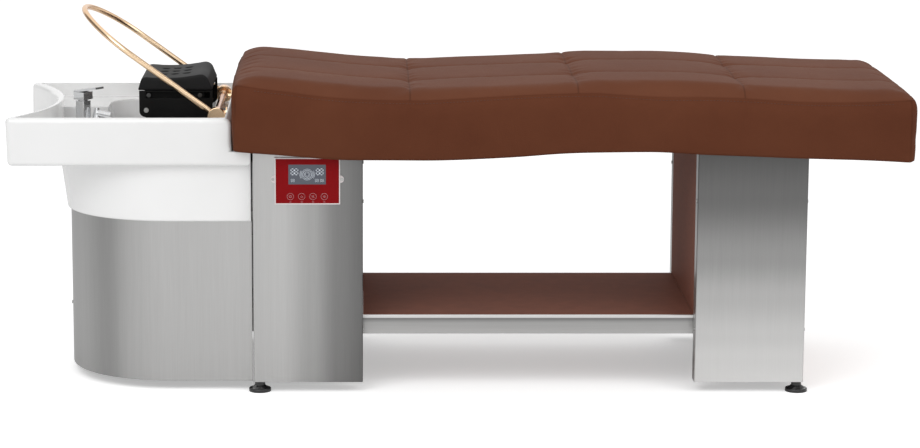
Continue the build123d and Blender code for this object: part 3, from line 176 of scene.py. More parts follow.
brushed_lines = grain_group()


def soft_edges(tree, shader, radius, height=None, strength=0.1, distance=0.0002):
    """Light a piece's edges as if they were rounded by radius, with the surface's bump on top."""
    edges = tree.nodes.new("ShaderNodeBevel")
    edges.samples = 4
    edges.inputs["Radius"].default_value = radius
    if height is None:
        wire(tree, edges.outputs[0], shader.inputs["Normal"])
        return
    bump = tree.nodes.new("ShaderNodeBump")
    bump.inputs["Strength"].default_value = strength
    bump.inputs["Distance"].default_value = distance
    wire(tree, edges.outputs[0], bump.inputs["Normal"])
    wire(tree, height, bump.inputs["Height"])
    wire(tree, bump.outputs[0], shader.inputs["Normal"])


def steel_with_painted_reflection(name, axis, stops, stretch=(60, 60, 1)):
    """Stainless sheet with a painted reflection in its base colour, which changes along an axis: stops are
    (place in metres, grey).
    """
    material, tree, shader, coords = new_material(name)
    shader.inputs["Metallic"].default_value = 1.0
    mapping = tree.nodes.new("ShaderNodeMapping")
    mapping.inputs["Scale"].default_value = stretch
    wire(tree, coords.outputs["Object"], mapping.inputs["Vector"])
    lines = tree.nodes.new("ShaderNodeGroup")
    lines.node_tree = brushed_lines
    lines.inputs["Fineness"].default_value = 9
    wire(tree, mapping.outputs[0], lines.inputs["Vector"])
    split = tree.nodes.new("ShaderNodeSeparateXYZ")
    wire(tree, coords.outputs["Object"], split.inputs[0])
    first, last = stops[0][0], stops[-1][0]
    reach = tree.nodes.new("ShaderNodeMapRange")
    reach.inputs["From Min"].default_value = first
    reach.inputs["From Max"].default_value = last
    wire(tree, split.outputs[axis], reach.inputs["Value"])
    # Painted reflection: the ramp of greys below stands in for the bright and dark room mirrored in the
    # sheet.
    ramp = tree.nodes.new("ShaderNodeValToRGB")
    ramp.color_ramp.interpolation = "EASE"
    marks = ramp.color_ramp.elements
    for index, (place, grey) in enumerate(stops):
        share = (place - first) / (last - first)
        stop = marks[0] if index == 0 else marks.new(min(share, 0.999))
        stop.position = share
        stop.color = (grey, grey * 0.995, grey * 0.985, 1)
    marks.remove(marks[-1])
    wire(tree, reach.outputs[0], ramp.inputs["Fac"])
    tone = tree.nodes.new("ShaderNodeMix")
    tone.data_type = "RGBA"
    tone.blend_type = "OVERLAY"
    tone.inputs["Factor"].default_value = 0.12
    wire(tree, ramp.outputs["Color"], tone.inputs["A"])
    wire(tree, lines.outputs["Tone"], tone.inputs["B"])
    wire(tree, tone.outputs["Result"], shader.inputs["Base Color"])
    rough = tree.nodes.new("ShaderNodeMapRange")
    rough.inputs["To Min"].default_value = 0.29
    rough.inputs["To Max"].default_value = 0.41
    wire(tree, lines.outputs["Tone"], rough.inputs["Value"])
    wire(tree, rough.outputs[0], shader.inputs["Roughness"])
    soft_edges(tree, shader, 0.0012, lines.outputs["Height"], 0.05, 0.0001)
    return material


def dress(material, *names):
    """Give CAD nodes a material."""
    for name in names:
        mesh = node[name].data
        mesh.materials.clear()
        mesh.materials.append(material)
        mesh.polygons.foreach_set("material_index", [0] * len(mesh.polygons))


# Painted reflection: each cover and the skirt run from lighter to darker grey along one axis.
head_steel = steel_with_painted_reflection("head_cover_steel", "X",
                           ((-0.4625, 0.52), (-0.40, 0.54), (-0.33, 0.40), (-0.27, 0.24), (-0.2145, 0.18)))
foot_steel = steel_with_painted_reflection("foot_cover_steel", "Z",
                           ((0.023, 0.78), (0.08, 0.72), (0.13, 0.64), (0.22, 0.5), (0.31, 0.34),
                            (0.45, 0.17), (0.558, 0.12)))
skirt_steel = steel_with_painted_reflection("skirt_steel", "X",
                            ((-0.896, 0.36), (-0.86, 0.43), (-0.80, 0.34), (-0.74, 0.47), (-0.66, 0.5),
                             (-0.47, 0.52)))
# Painted shadow under the rail's lip (the dark stop at 0.162 m) and painted highlight on the lip above it.
rail_steel = steel_with_painted_reflection("shelf_rail_steel", "Z",
                           ((0.126, 0.5), (0.15, 0.44), (0.162, 0.24), (0.1645, 0.75), (0.17, 0.8)),
                           (1, 60, 60))
dress(head_steel, "head_front_cover", "head_rear_cover")
dress(foot_steel, "foot_front_cover", "foot_rear_cover")
dress(skirt_steel, "basin_skirt")
dress(rail_steel, "shelf_rails")

# Welded frames: square steel tube, painted dark grey after welding. The bolts and screws that hold the
# covers and the boards are zinc plated, dull grey with a faint mottle, and the water unions are brass.


def metal(name, colour, roughness, scale, change, bevel=0.0006, metallic=1.0):
    """Plain metal with a faint change of tone and roughness over its surface."""
    material, tree, shader, coords = new_material(name)
    shader.inputs["Metallic"].default_value = metallic
    spots = tree.nodes.new("ShaderNodeTexNoise")
    spots.inputs["Scale"].default_value = scale
    spots.inputs["Detail"].default_value = 5
    wire(tree, coords.outputs["Object"], spots.inputs["Vector"])
    tone = tree.nodes.new("ShaderNodeValToRGB")
    tone.color_ramp.elements[0].position = 0.3
    tone.color_ramp.elements[1].position = 0.7
    tone.color_ramp.elements[0].color = (*(value * (1 - change) for value in colour), 1)
    tone.color_ramp.elements[1].color = (*(min(value * (1 + change), 1) for value in colour), 1)
    wire(tree, spots.outputs["Fac"], tone.inputs["Fac"])
    wire(tree, tone.outputs["Color"], shader.inputs["Base Color"])
    rough = tree.nodes.new("ShaderNodeMapRange")
    rough.inputs["To Min"].default_value = roughness * 0.85
    rough.inputs["To Max"].default_value = roughness * 1.15
    wire(tree, spots.outputs["Fac"], rough.inputs["Value"])
    wire(tree, rough.outputs[0], shader.inputs["Roughness"])
    soft_edges(tree, shader, bevel)
    return material


zinc = metal("zinc_plate", (0.5, 0.5, 0.49), 0.42, 60, 0.12)
frame_paint = metal("frame_paint", (0.09, 0.09, 0.092), 0.45, 120, 0.05, 0.001, 0.0)
brass = metal("brass", (0.72, 0.52, 0.25), 0.28, 50, 0.06)
dress(zinc, "bracket_screws", "sheet_screws", "shelf_bolts", "panel_screws")
dress(frame_paint, "head_frame", "foot_frame", "bed_frame", "basin_support", "shelf_middle_bar")
dress(brass, "supply_unions")

# Bay panels, foot end panel and shelf board: brown laminated board with sealed edges, screwed to the
# pedestal frames and laid between the shelf rails.


def board(name, colour, dark, scale, roughness):
    """Faced board: fine streaks in colour, roughness and height."""
    material, tree, shader, coords = new_material(name)
    mapping = tree.nodes.new("ShaderNodeMapping")
    mapping.inputs["Scale"].default_value = scale
    wire(tree, coords.outputs["Object"], mapping.inputs["Vector"])
    grain = tree.nodes.new("ShaderNodeTexNoise")
    grain.inputs["Scale"].default_value = 14
    grain.inputs["Detail"].default_value = 8
    grain.inputs["Distortion"].default_value = 0.6
    wire(tree, mapping.outputs[0], grain.inputs["Vector"])
    tone = tree.nodes.new("ShaderNodeValToRGB")
    tone.color_ramp.elements[0].position = 0.32
    tone.color_ramp.elements[0].color = (*dark, 1)
    tone.color_ramp.elements[1].position = 0.68
    tone.color_ramp.elements[1].color = (*colour, 1)
    wire(tree, grain.outputs["Fac"], tone.inputs["Fac"])
    wire(tree, tone.outputs["Color"], shader.inputs["Base Color"])
    rough = tree.nodes.new("ShaderNodeMapRange")
    rough.inputs["To Min"].default_value = roughness - 0.06
    rough.inputs["To Max"].default_value = roughness + 0.06
    wire(tree, grain.outputs["Fac"], rough.inputs["Value"])
    wire(tree, rough.outputs[0], shader.inputs["Roughness"])
    soft_edges(tree, shader, 0.0008, grain.outputs["Fac"], 0.08, 0.0002)
    return material


brown_board = board("brown_laminate", (0.222, 0.09, 0.062), (0.194, 0.077, 0.053), (2, 2, 9), 0.66)
brown_board.node_tree.nodes["Principled BSDF"].inputs["Specular IOR Level"].default_value = 0.03
dress(brown_board, "bay_panels", "foot_end_panel", "shelf_board")

# Bed board: birch plywood, laid on the bed rails under the mattress.
dress(board("birch_plywood", (0.62, 0.44, 0.25), (0.5, 0.32, 0.17), (1, 9, 9), 0.55), "bed_board")

# Levelling feet and tube plugs: black pads under a flared cone, turned on a steel stud that screws into
# a plug in each outer post.


def moulded(name, colour, roughness, scale=220, depth=0.15, coat=0.0, bevel=0.0008):
    """Moulded or painted surface: fine texture and a faint change of sheen."""
    material, tree, shader, coords = new_material(name)
    fine = tree.nodes.new("ShaderNodeTexNoise")
    fine.inputs["Scale"].default_value = scale
    fine.inputs["Detail"].default_value = 4
    wire(tree, coords.outputs["Object"], fine.inputs["Vector"])
    wide = tree.nodes.new("ShaderNodeTexNoise")
    wide.inputs["Scale"].default_value = 9
    wire(tree, coords.outputs["Object"], wide.inputs["Vector"])
    tone = tree.nodes.new("ShaderNodeValToRGB")
    tone.color_ramp.elements[0].position = 0.3
    tone.color_ramp.elements[0].color = (*(value * 0.9 for value in colour), 1)
    tone.color_ramp.elements[1].position = 0.7
    tone.color_ramp.elements[1].color = (*(min(value * 1.08, 1) for value in colour), 1)
    wire(tree, wide.outputs["Fac"], tone.inputs["Fac"])
    wire(tree, tone.outputs["Color"], shader.inputs["Base Color"])
    rough = tree.nodes.new("ShaderNodeMapRange")
    rough.inputs["To Min"].default_value = roughness * 0.88
    rough.inputs["To Max"].default_value = min(roughness * 1.12, 1)
    wire(tree, wide.outputs["Fac"], rough.inputs["Value"])
    wire(tree, rough.outputs[0], shader.inputs["Roughness"])
    shader.inputs["Coat Weight"].default_value = coat
    shader.inputs["Coat Roughness"].default_value = 0.05
    soft_edges(tree, shader, bevel, fine.outputs["Fac"], depth, 0.00015)
    return material


black_gloss = moulded("black_enamel", (0.012, 0.012, 0.013), 0.22, 260, 0.05, 0.4)
black_plastic = moulded("black_plastic", (0.03, 0.03, 0.032), 0.45)
dress(black_gloss, "levelling_foot_head_front", "levelling_foot_head_rear",
      "levelling_foot_foot_front", "levelling_foot_foot_rear")
dress(black_plastic, "foot_plugs", "panel_housing", "pump", "power_gland")

# Basin: one vitreous china casting under a thick white glaze, standing on the steel skirt and frame.
glaze, tree, shader, coords = new_material("white_glaze")
pool = tree.nodes.new("ShaderNodeTexNoise")
pool.inputs["Scale"].default_value = 5
wire(tree, coords.outputs["Object"], pool.inputs["Vector"])
tone = tree.nodes.new("ShaderNodeValToRGB")
tone.color_ramp.elements[0].color = (0.82, 0.82, 0.815, 1)
tone.color_ramp.elements[1].color = (0.875, 0.875, 0.875, 1)
wire(tree, pool.outputs["Fac"], tone.inputs["Fac"])
wire(tree, tone.outputs["Color"], shader.inputs["Base Color"])
shader.inputs["Roughness"].default_value = 0.12
shader.inputs["Coat Weight"].default_value = 0.6
shader.inputs["Coat Roughness"].default_value = 0.04
soft_edges(tree, shader, 0.006, pool.outputs["Fac"], 0.04, 0.001)
dress(glaze, "basin")

# Mixer tap, hand shower, drain flange and strainer: polished chrome on brass, clamped through the deck
# and the bowl's floor with nuts.


def plated_with_painted_reflection(name, face, edge, roughness, spots=15):
    """Bright plating with a painted reflection: base colour darker towards the edges of a round or box
    form, standing in for the dark room it mirrors.
    """
    material, tree, shader, coords = new_material(name)
    shader.inputs["Metallic"].default_value = 1.0
    # Painted reflection: the facing ramp below darkens the base colour towards grazing edges.
    facing = tree.nodes.new("ShaderNodeLayerWeight")
    facing.inputs["Blend"].default_value = 0.5
    mottle = tree.nodes.new("ShaderNodeTexNoise")
    mottle.inputs["Scale"].default_value = spots
    wire(tree, coords.outputs["Object"], mottle.inputs["Vector"])
    turn = tree.nodes.new("ShaderNodeValToRGB")
    turn.color_ramp.elements[0].position = 0.15
    turn.color_ramp.elements[0].color = (*face, 1)
    turn.color_ramp.elements[1].position = 0.85
    turn.color_ramp.elements[1].color = (*edge, 1)
    wire(tree, facing.outputs["Facing"], turn.inputs["Fac"])
    tone = tree.nodes.new("ShaderNodeMix")
    tone.data_type = "RGBA"
    tone.blend_type = "OVERLAY"
    tone.inputs["Factor"].default_value = 0.03
    wire(tree, turn.outputs["Color"], tone.inputs["A"])
    wire(tree, mottle.outputs["Fac"], tone.inputs["B"])
    wire(tree, tone.outputs["Result"], shader.inputs["Base Color"])
    rough = tree.nodes.new("ShaderNodeMapRange")
    rough.inputs["To Min"].default_value = roughness * 0.8
    rough.inputs["To Max"].default_value = roughness * 1.2
    wire(tree, mottle.outputs["Fac"], rough.inputs["Value"])
    wire(tree, rough.outputs[0], shader.inputs["Roughness"])
    soft_edges(tree, shader, 0.0007)
    return material


# Chrome with a painted reflection, darker at its edges.
chrome = plated_with_painted_reflection("chrome", (0.8, 0.81, 0.82), (0.32, 0.32, 0.33), 0.09)
chrome.node_tree.nodes["Principled BSDF"].inputs["Metallic"].default_value = 0.75
dress(chrome, "tap_body", "tap_handle", "tap_cartridge", "spray_holder", "hand_spray", "hair_strainer",
      "drain_flange")
dress(zinc, "tap_nut", "tank_heater")

# Supply, spray and circulation hoses: stainless braid over rubber, crimped at both ends and held by the
# unions and the tap.
braid, tree, shader, coords = new_material("steel_braid")
shader.inputs["Metallic"].default_value = 1.0
shader.inputs["Roughness"].default_value = 0.35
strands = []
for turn in (0.9, -0.9):
    mapping = tree.nodes.new("ShaderNodeMapping")
    mapping.inputs["Rotation"].default_value = (turn, turn, turn)
    wire(tree, coords.outputs["Object"], mapping.inputs["Vector"])
    wave = tree.nodes.new("ShaderNodeTexWave")
    wave.inputs["Scale"].default_value = 260
    wire(tree, mapping.outputs[0], wave.inputs["Vector"])
    strands.append(wave)
weave = tree.nodes.new("ShaderNodeMath")
weave.operation = "MAXIMUM"
wire(tree, strands[0].outputs["Fac"], weave.inputs[0])
wire(tree, strands[1].outputs["Fac"], weave.inputs[1])
tone = tree.nodes.new("ShaderNodeValToRGB")
tone.color_ramp.elements[0].color = (0.16, 0.16, 0.17, 1)
tone.color_ramp.elements[1].color = (0.7, 0.7, 0.71, 1)
wire(tree, weave.outputs[0], tone.inputs["Fac"])
wire(tree, tone.outputs["Color"], shader.inputs["Base Color"])
bump = tree.nodes.new("ShaderNodeBump")
bump.inputs["Strength"].default_value = 0.4
bump.inputs["Distance"].default_value = 0.0004
wire(tree, weave.outputs[0], bump.inputs["Height"])
wire(tree, bump.outputs[0], shader.inputs["Normal"])
dress(braid, "supply_hoses", "feed_hose", "link_hose")

# Bottle trap and waste pipe: white moulded PVC, pushed together with seals under the drain.
dress(moulded("white_pvc", (0.7, 0.7, 0.68), 0.35, 120, 0.08), "waste_trap", "waste_pipe")

# Neck rest bracket, its rods and carrier: 3 mm steel, bent, welded and painted satin black, screwed
# to the bar on the basin's ledge.
black_paint = moulded("black_paint", (0.005, 0.005, 0.005), 0.35, 300, 0.06)
black_paint.node_tree.nodes["Principled BSDF"].inputs["Specular IOR Level"].default_value = 0.15
dress(black_paint, "neck_bracket", "rest_bars", "head_mount_plate")
# Painted shade: the carrier behind the bracket's slots takes a darker, rougher copy of the black paint, so
# that the slots read as deep shade.
slot_shade_paint = moulded("slot_shade_paint", (0.003, 0.003, 0.003), 0.6, 300, 0.06)
slot_shade_paint.node_tree.nodes["Principled BSDF"].inputs["Specular IOR Level"].default_value = 0.1
dress(slot_shade_paint, "neck_carrier")
dress(metal("pin_steel", (0.09, 0.09, 0.09), 0.3, 60, 0.1), "carrier_pins")

# Circulation hoop: bent brass tube, plated light gold, which turns on a cross tube in two brackets.
# Water leaves its underside.
# Gold and rose gold plating with a painted reflection, darker at their edges.
dress(plated_with_painted_reflection("gold_plate", (1.0, 0.75, 0.5), (0.84, 0.52, 0.29), 0.22, 9),
      "circulation_hoop", "hoop_brackets")
dress(plated_with_painted_reflection("rose_gold_plate", (0.94, 0.68, 0.52), (0.7, 0.4, 0.26), 0.26, 9), "hoop_cross_tube")

# Water tank and tray in the head pedestal: rolled and welded stainless sheet on a folded tray.
dress(metal("tank_steel", (0.62, 0.62, 0.6), 0.36, 25, 0.08), "water_tank", "equipment_tray")
dress(moulded("green_board", (0.02, 0.11, 0.05), 0.35), "circuit_board")

# Mattress: foam block in brown grained leather, sewn in three rows and four columns, with a top-stitched
# seam round its upper edge. A skirt hangs over the bed board on every side and holds it in place.
head_end, foot_end, half_bed = -0.5045, 1.0135, 0.325
seam_level, crown_height, board_level = 0.676, 0.025, 0.6185
head_inset, foot_inset, side_inset, corner_radius = 0.008, 0.001, 0.011, 0.016
shoulder_width, end_shoulder, bow_depth, bow_reach = 0.055, 0.05, 0.008, 0.07
hem_inset, hem_height = 0.0365, 0.012
cross_seams = (-0.1095, 0.2645, 0.6355)
row = 0.108
row_seams = (-row, row)
row_valley, cross_valley, dimple_depth = 0.0018, 0.0025, 0.0065
# Each profile gives (share of the length from the head end, height as a share of the seam or crown).
edge_profile = ((0, 1.047), (0.044, 1.032), (0.08, 1.022), (0.117, 1.01), (0.154, 1.002), (0.19, 0.997),
                (0.24, 0.994), (0.286, 0.994), (0.367, 1.004), (0.45, 1.014), (0.532, 1.018), (0.56, 1.014),
                (0.627, 1.005), (0.7, 1.004), (0.75, 1.0), (0.84, 0.988), (0.93, 0.988), (1, 0.995))
lower_profile = ((0, 0.822), (0.062, 0.812), (0.1, 0.805), (0.154, 0.796), (0.24, 0.794), (0.31, 0.794),
                 (0.41, 0.804), (0.49, 0.817), (0.57, 0.821), (0.63, 0.821), (0.69, 0.813), (0.75, 0.808),
                 (0.84, 0.8), (0.93, 0.794), (1, 0.786))
crown_profile = ((0, 0.6), (0.04, 0.8), (0.08, 0.9), (0.13, 0.98), (0.19, 0.9), (0.26, 0.81), (0.34, 0.72),
                 (0.41, 0.61), (0.475, 0.62), (0.52, 0.78), (0.57, 0.98), (0.64, 1.2), (0.7, 1.08),
                 (0.76, 0.94), (0.83, 1.0), (0.9, 0.86), (1, 0.64))


def along(profile, x):
    """Smooth value of a profile at x on the mattress."""
    share = min(max((x - head_end) / (foot_end - head_end), 0), 1)
    spots = [spot for spot, _ in profile]
    index = min(max(sum(share >= spot for spot in spots) - 1, 0), len(profile) - 2)
    values = [profile[min(max(index + step, 0), len(profile) - 1)] for step in (-1, 0, 1, 2)]
    (x0, y0), (x1, y1), (x2, y2), (x3, y3) = values
    step = (share - x1) / (x2 - x1)
    rise_1 = (y2 - y0) / max(x2 - x0, 1e-6) * (x2 - x1)
    rise_2 = (y3 - y1) / max(x3 - x1, 1e-6) * (x2 - x1)
    return ((2 * step ** 3 - 3 * step ** 2 + 1) * y1 + (step ** 3 - 2 * step ** 2 + step) * rise_1
            + (3 * step ** 2 - 2 * step ** 3) * y2 + (step ** 3 - step ** 2) * rise_2)


def edge_level(x):
    """Height of the upper seam at x."""
    return seam_level * along(edge_profile, x)


def hem_level(x):
    """Height of the lower hem at x."""
    return seam_level * along(lower_profile, x)


def stations(start, end, seams, count):
    """Grid lines from start to end, with a close set of lines beside each seam."""
    seam_gap, rim_gap, spread = 0.005, 0.008, 2.6
    marks = [start, *seams, end]
    lines = [start]
    for first, last in zip(marks, marks[1:]):
        near = seam_gap if first in seams else rim_gap
        far = seam_gap if last in seams else rim_gap
        run = last - first - spread * (near + far)
        lines.append(first + near)
        lines.extend(first + near * spread + run * step / (count - 1) for step in range(count))
        lines.extend((last - far, last))
    return lines


def top_height(x, y):
    """Height of the quilted top before it is blown up."""
    crown = crown_height * along(crown_profile, x)
    inward = max(min(1, (half_bed - side_inset - abs(y)) / shoulder_width), 0)
    from_end = max(min(1, (x - head_end - head_inset) / end_shoulder,
                       (foot_end - foot_inset - x) / end_shoulder), 0)
    shoulder = (1 - (1 - inward) ** 2.2) * (1 - (1 - from_end) ** 2.2)
    across = abs(abs(y) - row)
    beside = min(abs(x - seam) for seam in cross_seams)
    valley = max(row_valley * math.exp(-across / 0.007) * from_end,
                 cross_valley * math.exp(-beside / 0.008))
    dimple = dimple_depth * math.exp(-beside / 0.034 - across / 0.03)
    from_middle = abs(abs(y) - 0.21) if abs(y) > row else abs(y)
    puff = 0.96 + 0.04 * math.cos(min(from_middle, 0.1) * 15)
    return edge_level(x) + shoulder * (crown * puff - valley - dimple + 0.001)


def rounded(x, y):
    """Pull a point of the plan into the rounded corners."""
    middle = (head_end + foot_end) / 2
    out_x = abs(x - middle) - ((foot_end - head_end) / 2 - corner_radius)
    out_y = abs(y) - (half_bed - corner_radius)
    if out_x <= 0 or out_y <= 0:
        return x, y
    u, v = min(out_x / corner_radius, 1), min(out_y / corner_radius, 1)
    new_u, new_v = u * math.sqrt(1 - v * v / 2), v * math.sqrt(1 - u * u / 2)
    return (math.copysign(abs(x - middle) - out_x + new_u * corner_radius, x - middle) + middle,
            math.copysign(abs(y) - out_y + new_v * corner_radius, y))


def bow(x, y):
    """How far the two end panels stand out between the corners."""
    head = max(0, 1 - (x - head_end - head_inset) / bow_reach)
    foot = max(0, 1 - (foot_end - foot_inset - x) / bow_reach)
    return bow_depth * (min(foot, 1) - min(head, 1)) * (1 - min(abs(y) / half_bed, 1) ** 3)


def under_board(x, y):
    """Plan of a point moved in under the mattress, where it lies on the bed board."""
    return (min(max(x, head_end + hem_inset), foot_end - hem_inset),
            min(max(y, -half_bed + hem_inset), half_bed - hem_inset))


lines_x = stations(head_end + head_inset, foot_end - foot_inset, cross_seams, 24)
lines_y = stations(-half_bed + side_inset, half_bed - side_inset, row_seams, 13)
pad = bpy.data.meshes.new("mattress_leather")
shape = bmesh.new()
grid = []
for x in lines_x:
    column = []
    for y in lines_y:
        place_x, place_y = rounded(x, y)
        column.append(shape.verts.new((place_x + bow(x, y), place_y, top_height(x, y))))
    grid.append(column)
for first, second in zip(grid, grid[1:]):
    for index in range(len(lines_y) - 1):
        shape.faces.new((first[index], second[index], second[index + 1], first[index + 1]))
rim = ([(index, 0) for index in range(len(lines_x) - 1)]
       + [(len(lines_x) - 1, index) for index in range(len(lines_y) - 1)]
       + [(index, len(lines_y) - 1) for index in range(len(lines_x) - 1, 0, -1)]
       + [(0, index) for index in range(len(lines_y) - 1, 0, -1)])
rings = [[grid[i][j] for i, j in rim]]
head_swell, foot_swell, side_swell, hem_pull, bow_fade = 0.009, 0.006, 0.011, 0.003, 0.055
for share in (0.03, 0.08, 0.17, 0.28, 0.4, 0.52, 0.64, 0.76, 0.86, 0.94, 1.0):
    lower = []
    for i, j in rim:
        x, y = lines_x[i], lines_y[j]
        edge, low = edge_level(x), hem_level(x)
        swell = 1 - (1 - min(share / 0.24, 1)) ** 2.4
        if i == 0:
            x -= head_swell * swell
        elif i == len(lines_x) - 1:
            x += foot_swell * swell
        if j in (0, len(lines_y) - 1):
            y += math.copysign(side_swell * swell - hem_pull * share ** 2, y)
        place_x, place_y = rounded(x, y)
        standing = bow(lines_x[i], lines_y[j]) * max(0, 1 - (edge - low) * share / bow_fade)
        lower.append(shape.verts.new((place_x + standing, place_y, edge + (low - edge) * share)))
    rings.append(lower)
for level in ("lip", "wall", "roof"):
    lower = []
    for i, j in rim:
        low = hem_level(lines_x[i])
        height = {"lip": low + 0.001, "wall": low + hem_height, "roof": board_level}[level]
        lower.append(shape.verts.new((*under_board(lines_x[i], lines_y[j]), height)))
    rings.append(lower)
for above, below in zip(rings, rings[1:]):
    for index in range(len(rim)):
        after = (index + 1) % len(rim)
        shape.faces.new((above[index], above[after], below[after], below[index]))
floor_grid = dict(zip(rim, rings[-1]))
for i, x in enumerate(lines_x[1:-1], 1):
    for j, y in enumerate(lines_y[1:-1], 1):
        floor_grid[i, j] = shape.verts.new((*under_board(x, y), board_level))
for i in range(len(lines_x) - 1):
    for j in range(len(lines_y) - 1):
        corners = ((i, j), (i, j + 1), (i + 1, j + 1), (i + 1, j))
        shape.faces.new([floor_grid[corner] for corner in corners])
bmesh.ops.remove_doubles(shape, verts=shape.verts, dist=0.00005)
bmesh.ops.recalc_face_normals(shape, faces=shape.faces)
shape.to_mesh(pad)
shape.free()
leather_pad = bpy.data.objects.new("mattress_leather", pad)
bpy.context.collection.objects.link(leather_pad)

pins = leather_pad.vertex_groups.new(name="sewn")
for vertex in pad.vertices:
    x, y, z = vertex.co
    over_board = abs(y) < half_bed - 0.036 and head_end + 0.036 < x < foot_end - 0.036
    under = z < board_level + 0.0005 and over_board
    on_seam = z > board_level + 0.02 and min(abs(x - seam) for seam in cross_seams) < 0.001
    on_rim = abs(z - edge_level(x)) < 0.0016
    low = z < hem_level(x) + hem_height
    if under or on_seam or on_rim or low:
        pins.add([vertex.index], 1.0, "REPLACE")
before = [vertex.co.copy() for vertex in pad.vertices]
bpy.context.view_layer.objects.active = leather_pad
blow = leather_pad.modifiers.new("blown_up", "CLOTH")
blow.settings.quality = 5
blow.settings.mass = 0.25
blow.settings.tension_stiffness = 12
blow.settings.compression_stiffness = 4
blow.settings.bending_stiffness = 0.35
blow.settings.shrink_min = -0.035
blow.settings.use_pressure = True
blow.settings.uniform_pressure_force = 4
blow.settings.vertex_group_mass = "sewn"
blow.settings.effector_weights.gravity = 0
blow.collision_settings.use_collision = False
for number in range(1, 21):
    bpy.context.scene.frame_set(number)
graph = bpy.context.evaluated_depsgraph_get()
blown = leather_pad.evaluated_get(graph).to_mesh()
moves = [blown.vertices[index].co - before[index] for index in range(len(before))]
leather_pad.modifiers.remove(blow)
bpy.context.scene.frame_set(1)
most_puff = 0.0025
for vertex, place, move in zip(pad.vertices, before, moves):
    vertex.co = place + move * min(1, most_puff / max(move.length, 1e-9))

bpy.ops.object.select_all(action="DESELECT")
leather_pad.select_set(True)
bpy.context.view_layer.objects.active = leather_pad
smooth = leather_pad.modifiers.new("fine", "SUBSURF")
smooth.levels = smooth.render_levels = 1
bpy.ops.object.modifier_apply(modifier="fine")
pad = leather_pad.data
corner_inset, corner_lean, corner_groove = 0.0085, 0.06, 0.0016
row_tuck, cross_tuck, side_crease = 0.0006, 0.0008, 0.0012
# The seam attribute holds each point's distance to the nearest seam, for the painted shade along the seams.
distance = pad.attributes.new("seam", "FLOAT", "POINT")
# The top_panel attribute holds how far a point lies on the top panel, for the painted top light.
upper = pad.attributes.new("top_panel", "FLOAT", "POINT")
for vertex in pad.vertices:
    x, y, z = vertex.co
    edge = edge_level(x)
    on_top = z > edge + 0.002
    from_row = abs(abs(y) - row)
    cross = min(abs(x - seam) for seam in cross_seams)
    corner = min(abs(x - head_end - corner_inset + corner_lean * (edge - z)),
                 abs(foot_end - corner_inset - x))
    gap = min(from_row + 0.0014, cross) if on_top else min(abs(z - edge) + 0.001, corner)
    distance.data[vertex.index].value = min(gap, 0.05)
    upper.data[vertex.index].value = min(max((z - edge) / 0.003, 0), 1)
    if on_top:
        tuck = row_tuck * math.exp(-from_row / 0.013) * math.sin(x * 255 + 2.2 * math.sin(x * 61))
        tuck += cross_tuck * math.exp(-cross / 0.014) * math.sin(y * 235 + 2.0 * math.sin(y * 57))
        vertex.co.z += tuck * min(1, gap / 0.004)
    elif z < edge - 0.002 and abs(y) > half_bed - 0.045:
        depth = min((edge - z) / 0.02, 1)
        crease = side_crease * math.exp(-(edge - z) / 0.05) * math.sin(x * 190 + 2.5 * math.sin(x * 43))
        vertex.co.y += math.copysign((crease - corner_groove * math.exp(-corner / 0.004)) * depth, y)
bpy.ops.object.shade_smooth()

leather_group = bpy.data.node_groups.new("leather_grain", "ShaderNodeTree")
for name, kind, way in (("Vector", "NodeSocketVector", "INPUT"),
                        ("Size", "NodeSocketFloat", "INPUT"),
                        ("Height", "NodeSocketFloat", "OUTPUT"),
                        ("Patches", "NodeSocketFloat", "OUTPUT")):
    leather_group.interface.new_socket(name, in_out=way, socket_type=kind)
start = leather_group.nodes.new("NodeGroupInput")
end = leather_group.nodes.new("NodeGroupOutput")
pebbles = leather_group.nodes.new("ShaderNodeTexVoronoi")
pebbles.feature = "SMOOTH_F1"
pebbles.inputs["Smoothness"].default_value = 0.6
creases = leather_group.nodes.new("ShaderNodeTexNoise")
creases.inputs["Scale"].default_value = 38
creases.inputs["Detail"].default_value = 6
creases.inputs["Distortion"].default_value = 0.8
patches = leather_group.nodes.new("ShaderNodeTexNoise")
patches.inputs["Scale"].default_value = 4.5
patches.inputs["Detail"].default_value = 3
mixed = leather_group.nodes.new("ShaderNodeMix")
mixed.inputs["Factor"].default_value = 0.4
for first, second in ((start.outputs["Vector"], pebbles.inputs["Vector"]),
                      (start.outputs["Size"], pebbles.inputs["Scale"]),
                      (start.outputs["Vector"], creases.inputs["Vector"]),
                      (start.outputs["Vector"], patches.inputs["Vector"]),
                      (pebbles.outputs["Distance"], mixed.inputs["A"]),
                      (creases.outputs["Fac"], mixed.inputs["B"]),
                      (mixed.outputs["Result"], end.inputs["Height"]),
                      (patches.outputs["Fac"], end.inputs["Patches"])):
    leather_group.links.new(second, first)

leather, tree, shader, coords = new_material("brown_leather")
grain = tree.nodes.new("ShaderNodeGroup")
grain.node_tree = leather_group
grain.inputs["Size"].default_value = 420
wire(tree, coords.outputs["Object"], grain.inputs["Vector"])
hide = tree.nodes.new("ShaderNodeValToRGB")
hide.color_ramp.elements[0].position = 0.3
hide.color_ramp.elements[0].color = (0.1, 0.0322, 0.0165, 1)
hide.color_ramp.elements[1].position = 0.72
hide.color_ramp.elements[1].color = (0.12, 0.0405, 0.0208, 1)
wire(tree, grain.outputs["Patches"], hide.inputs["Fac"])
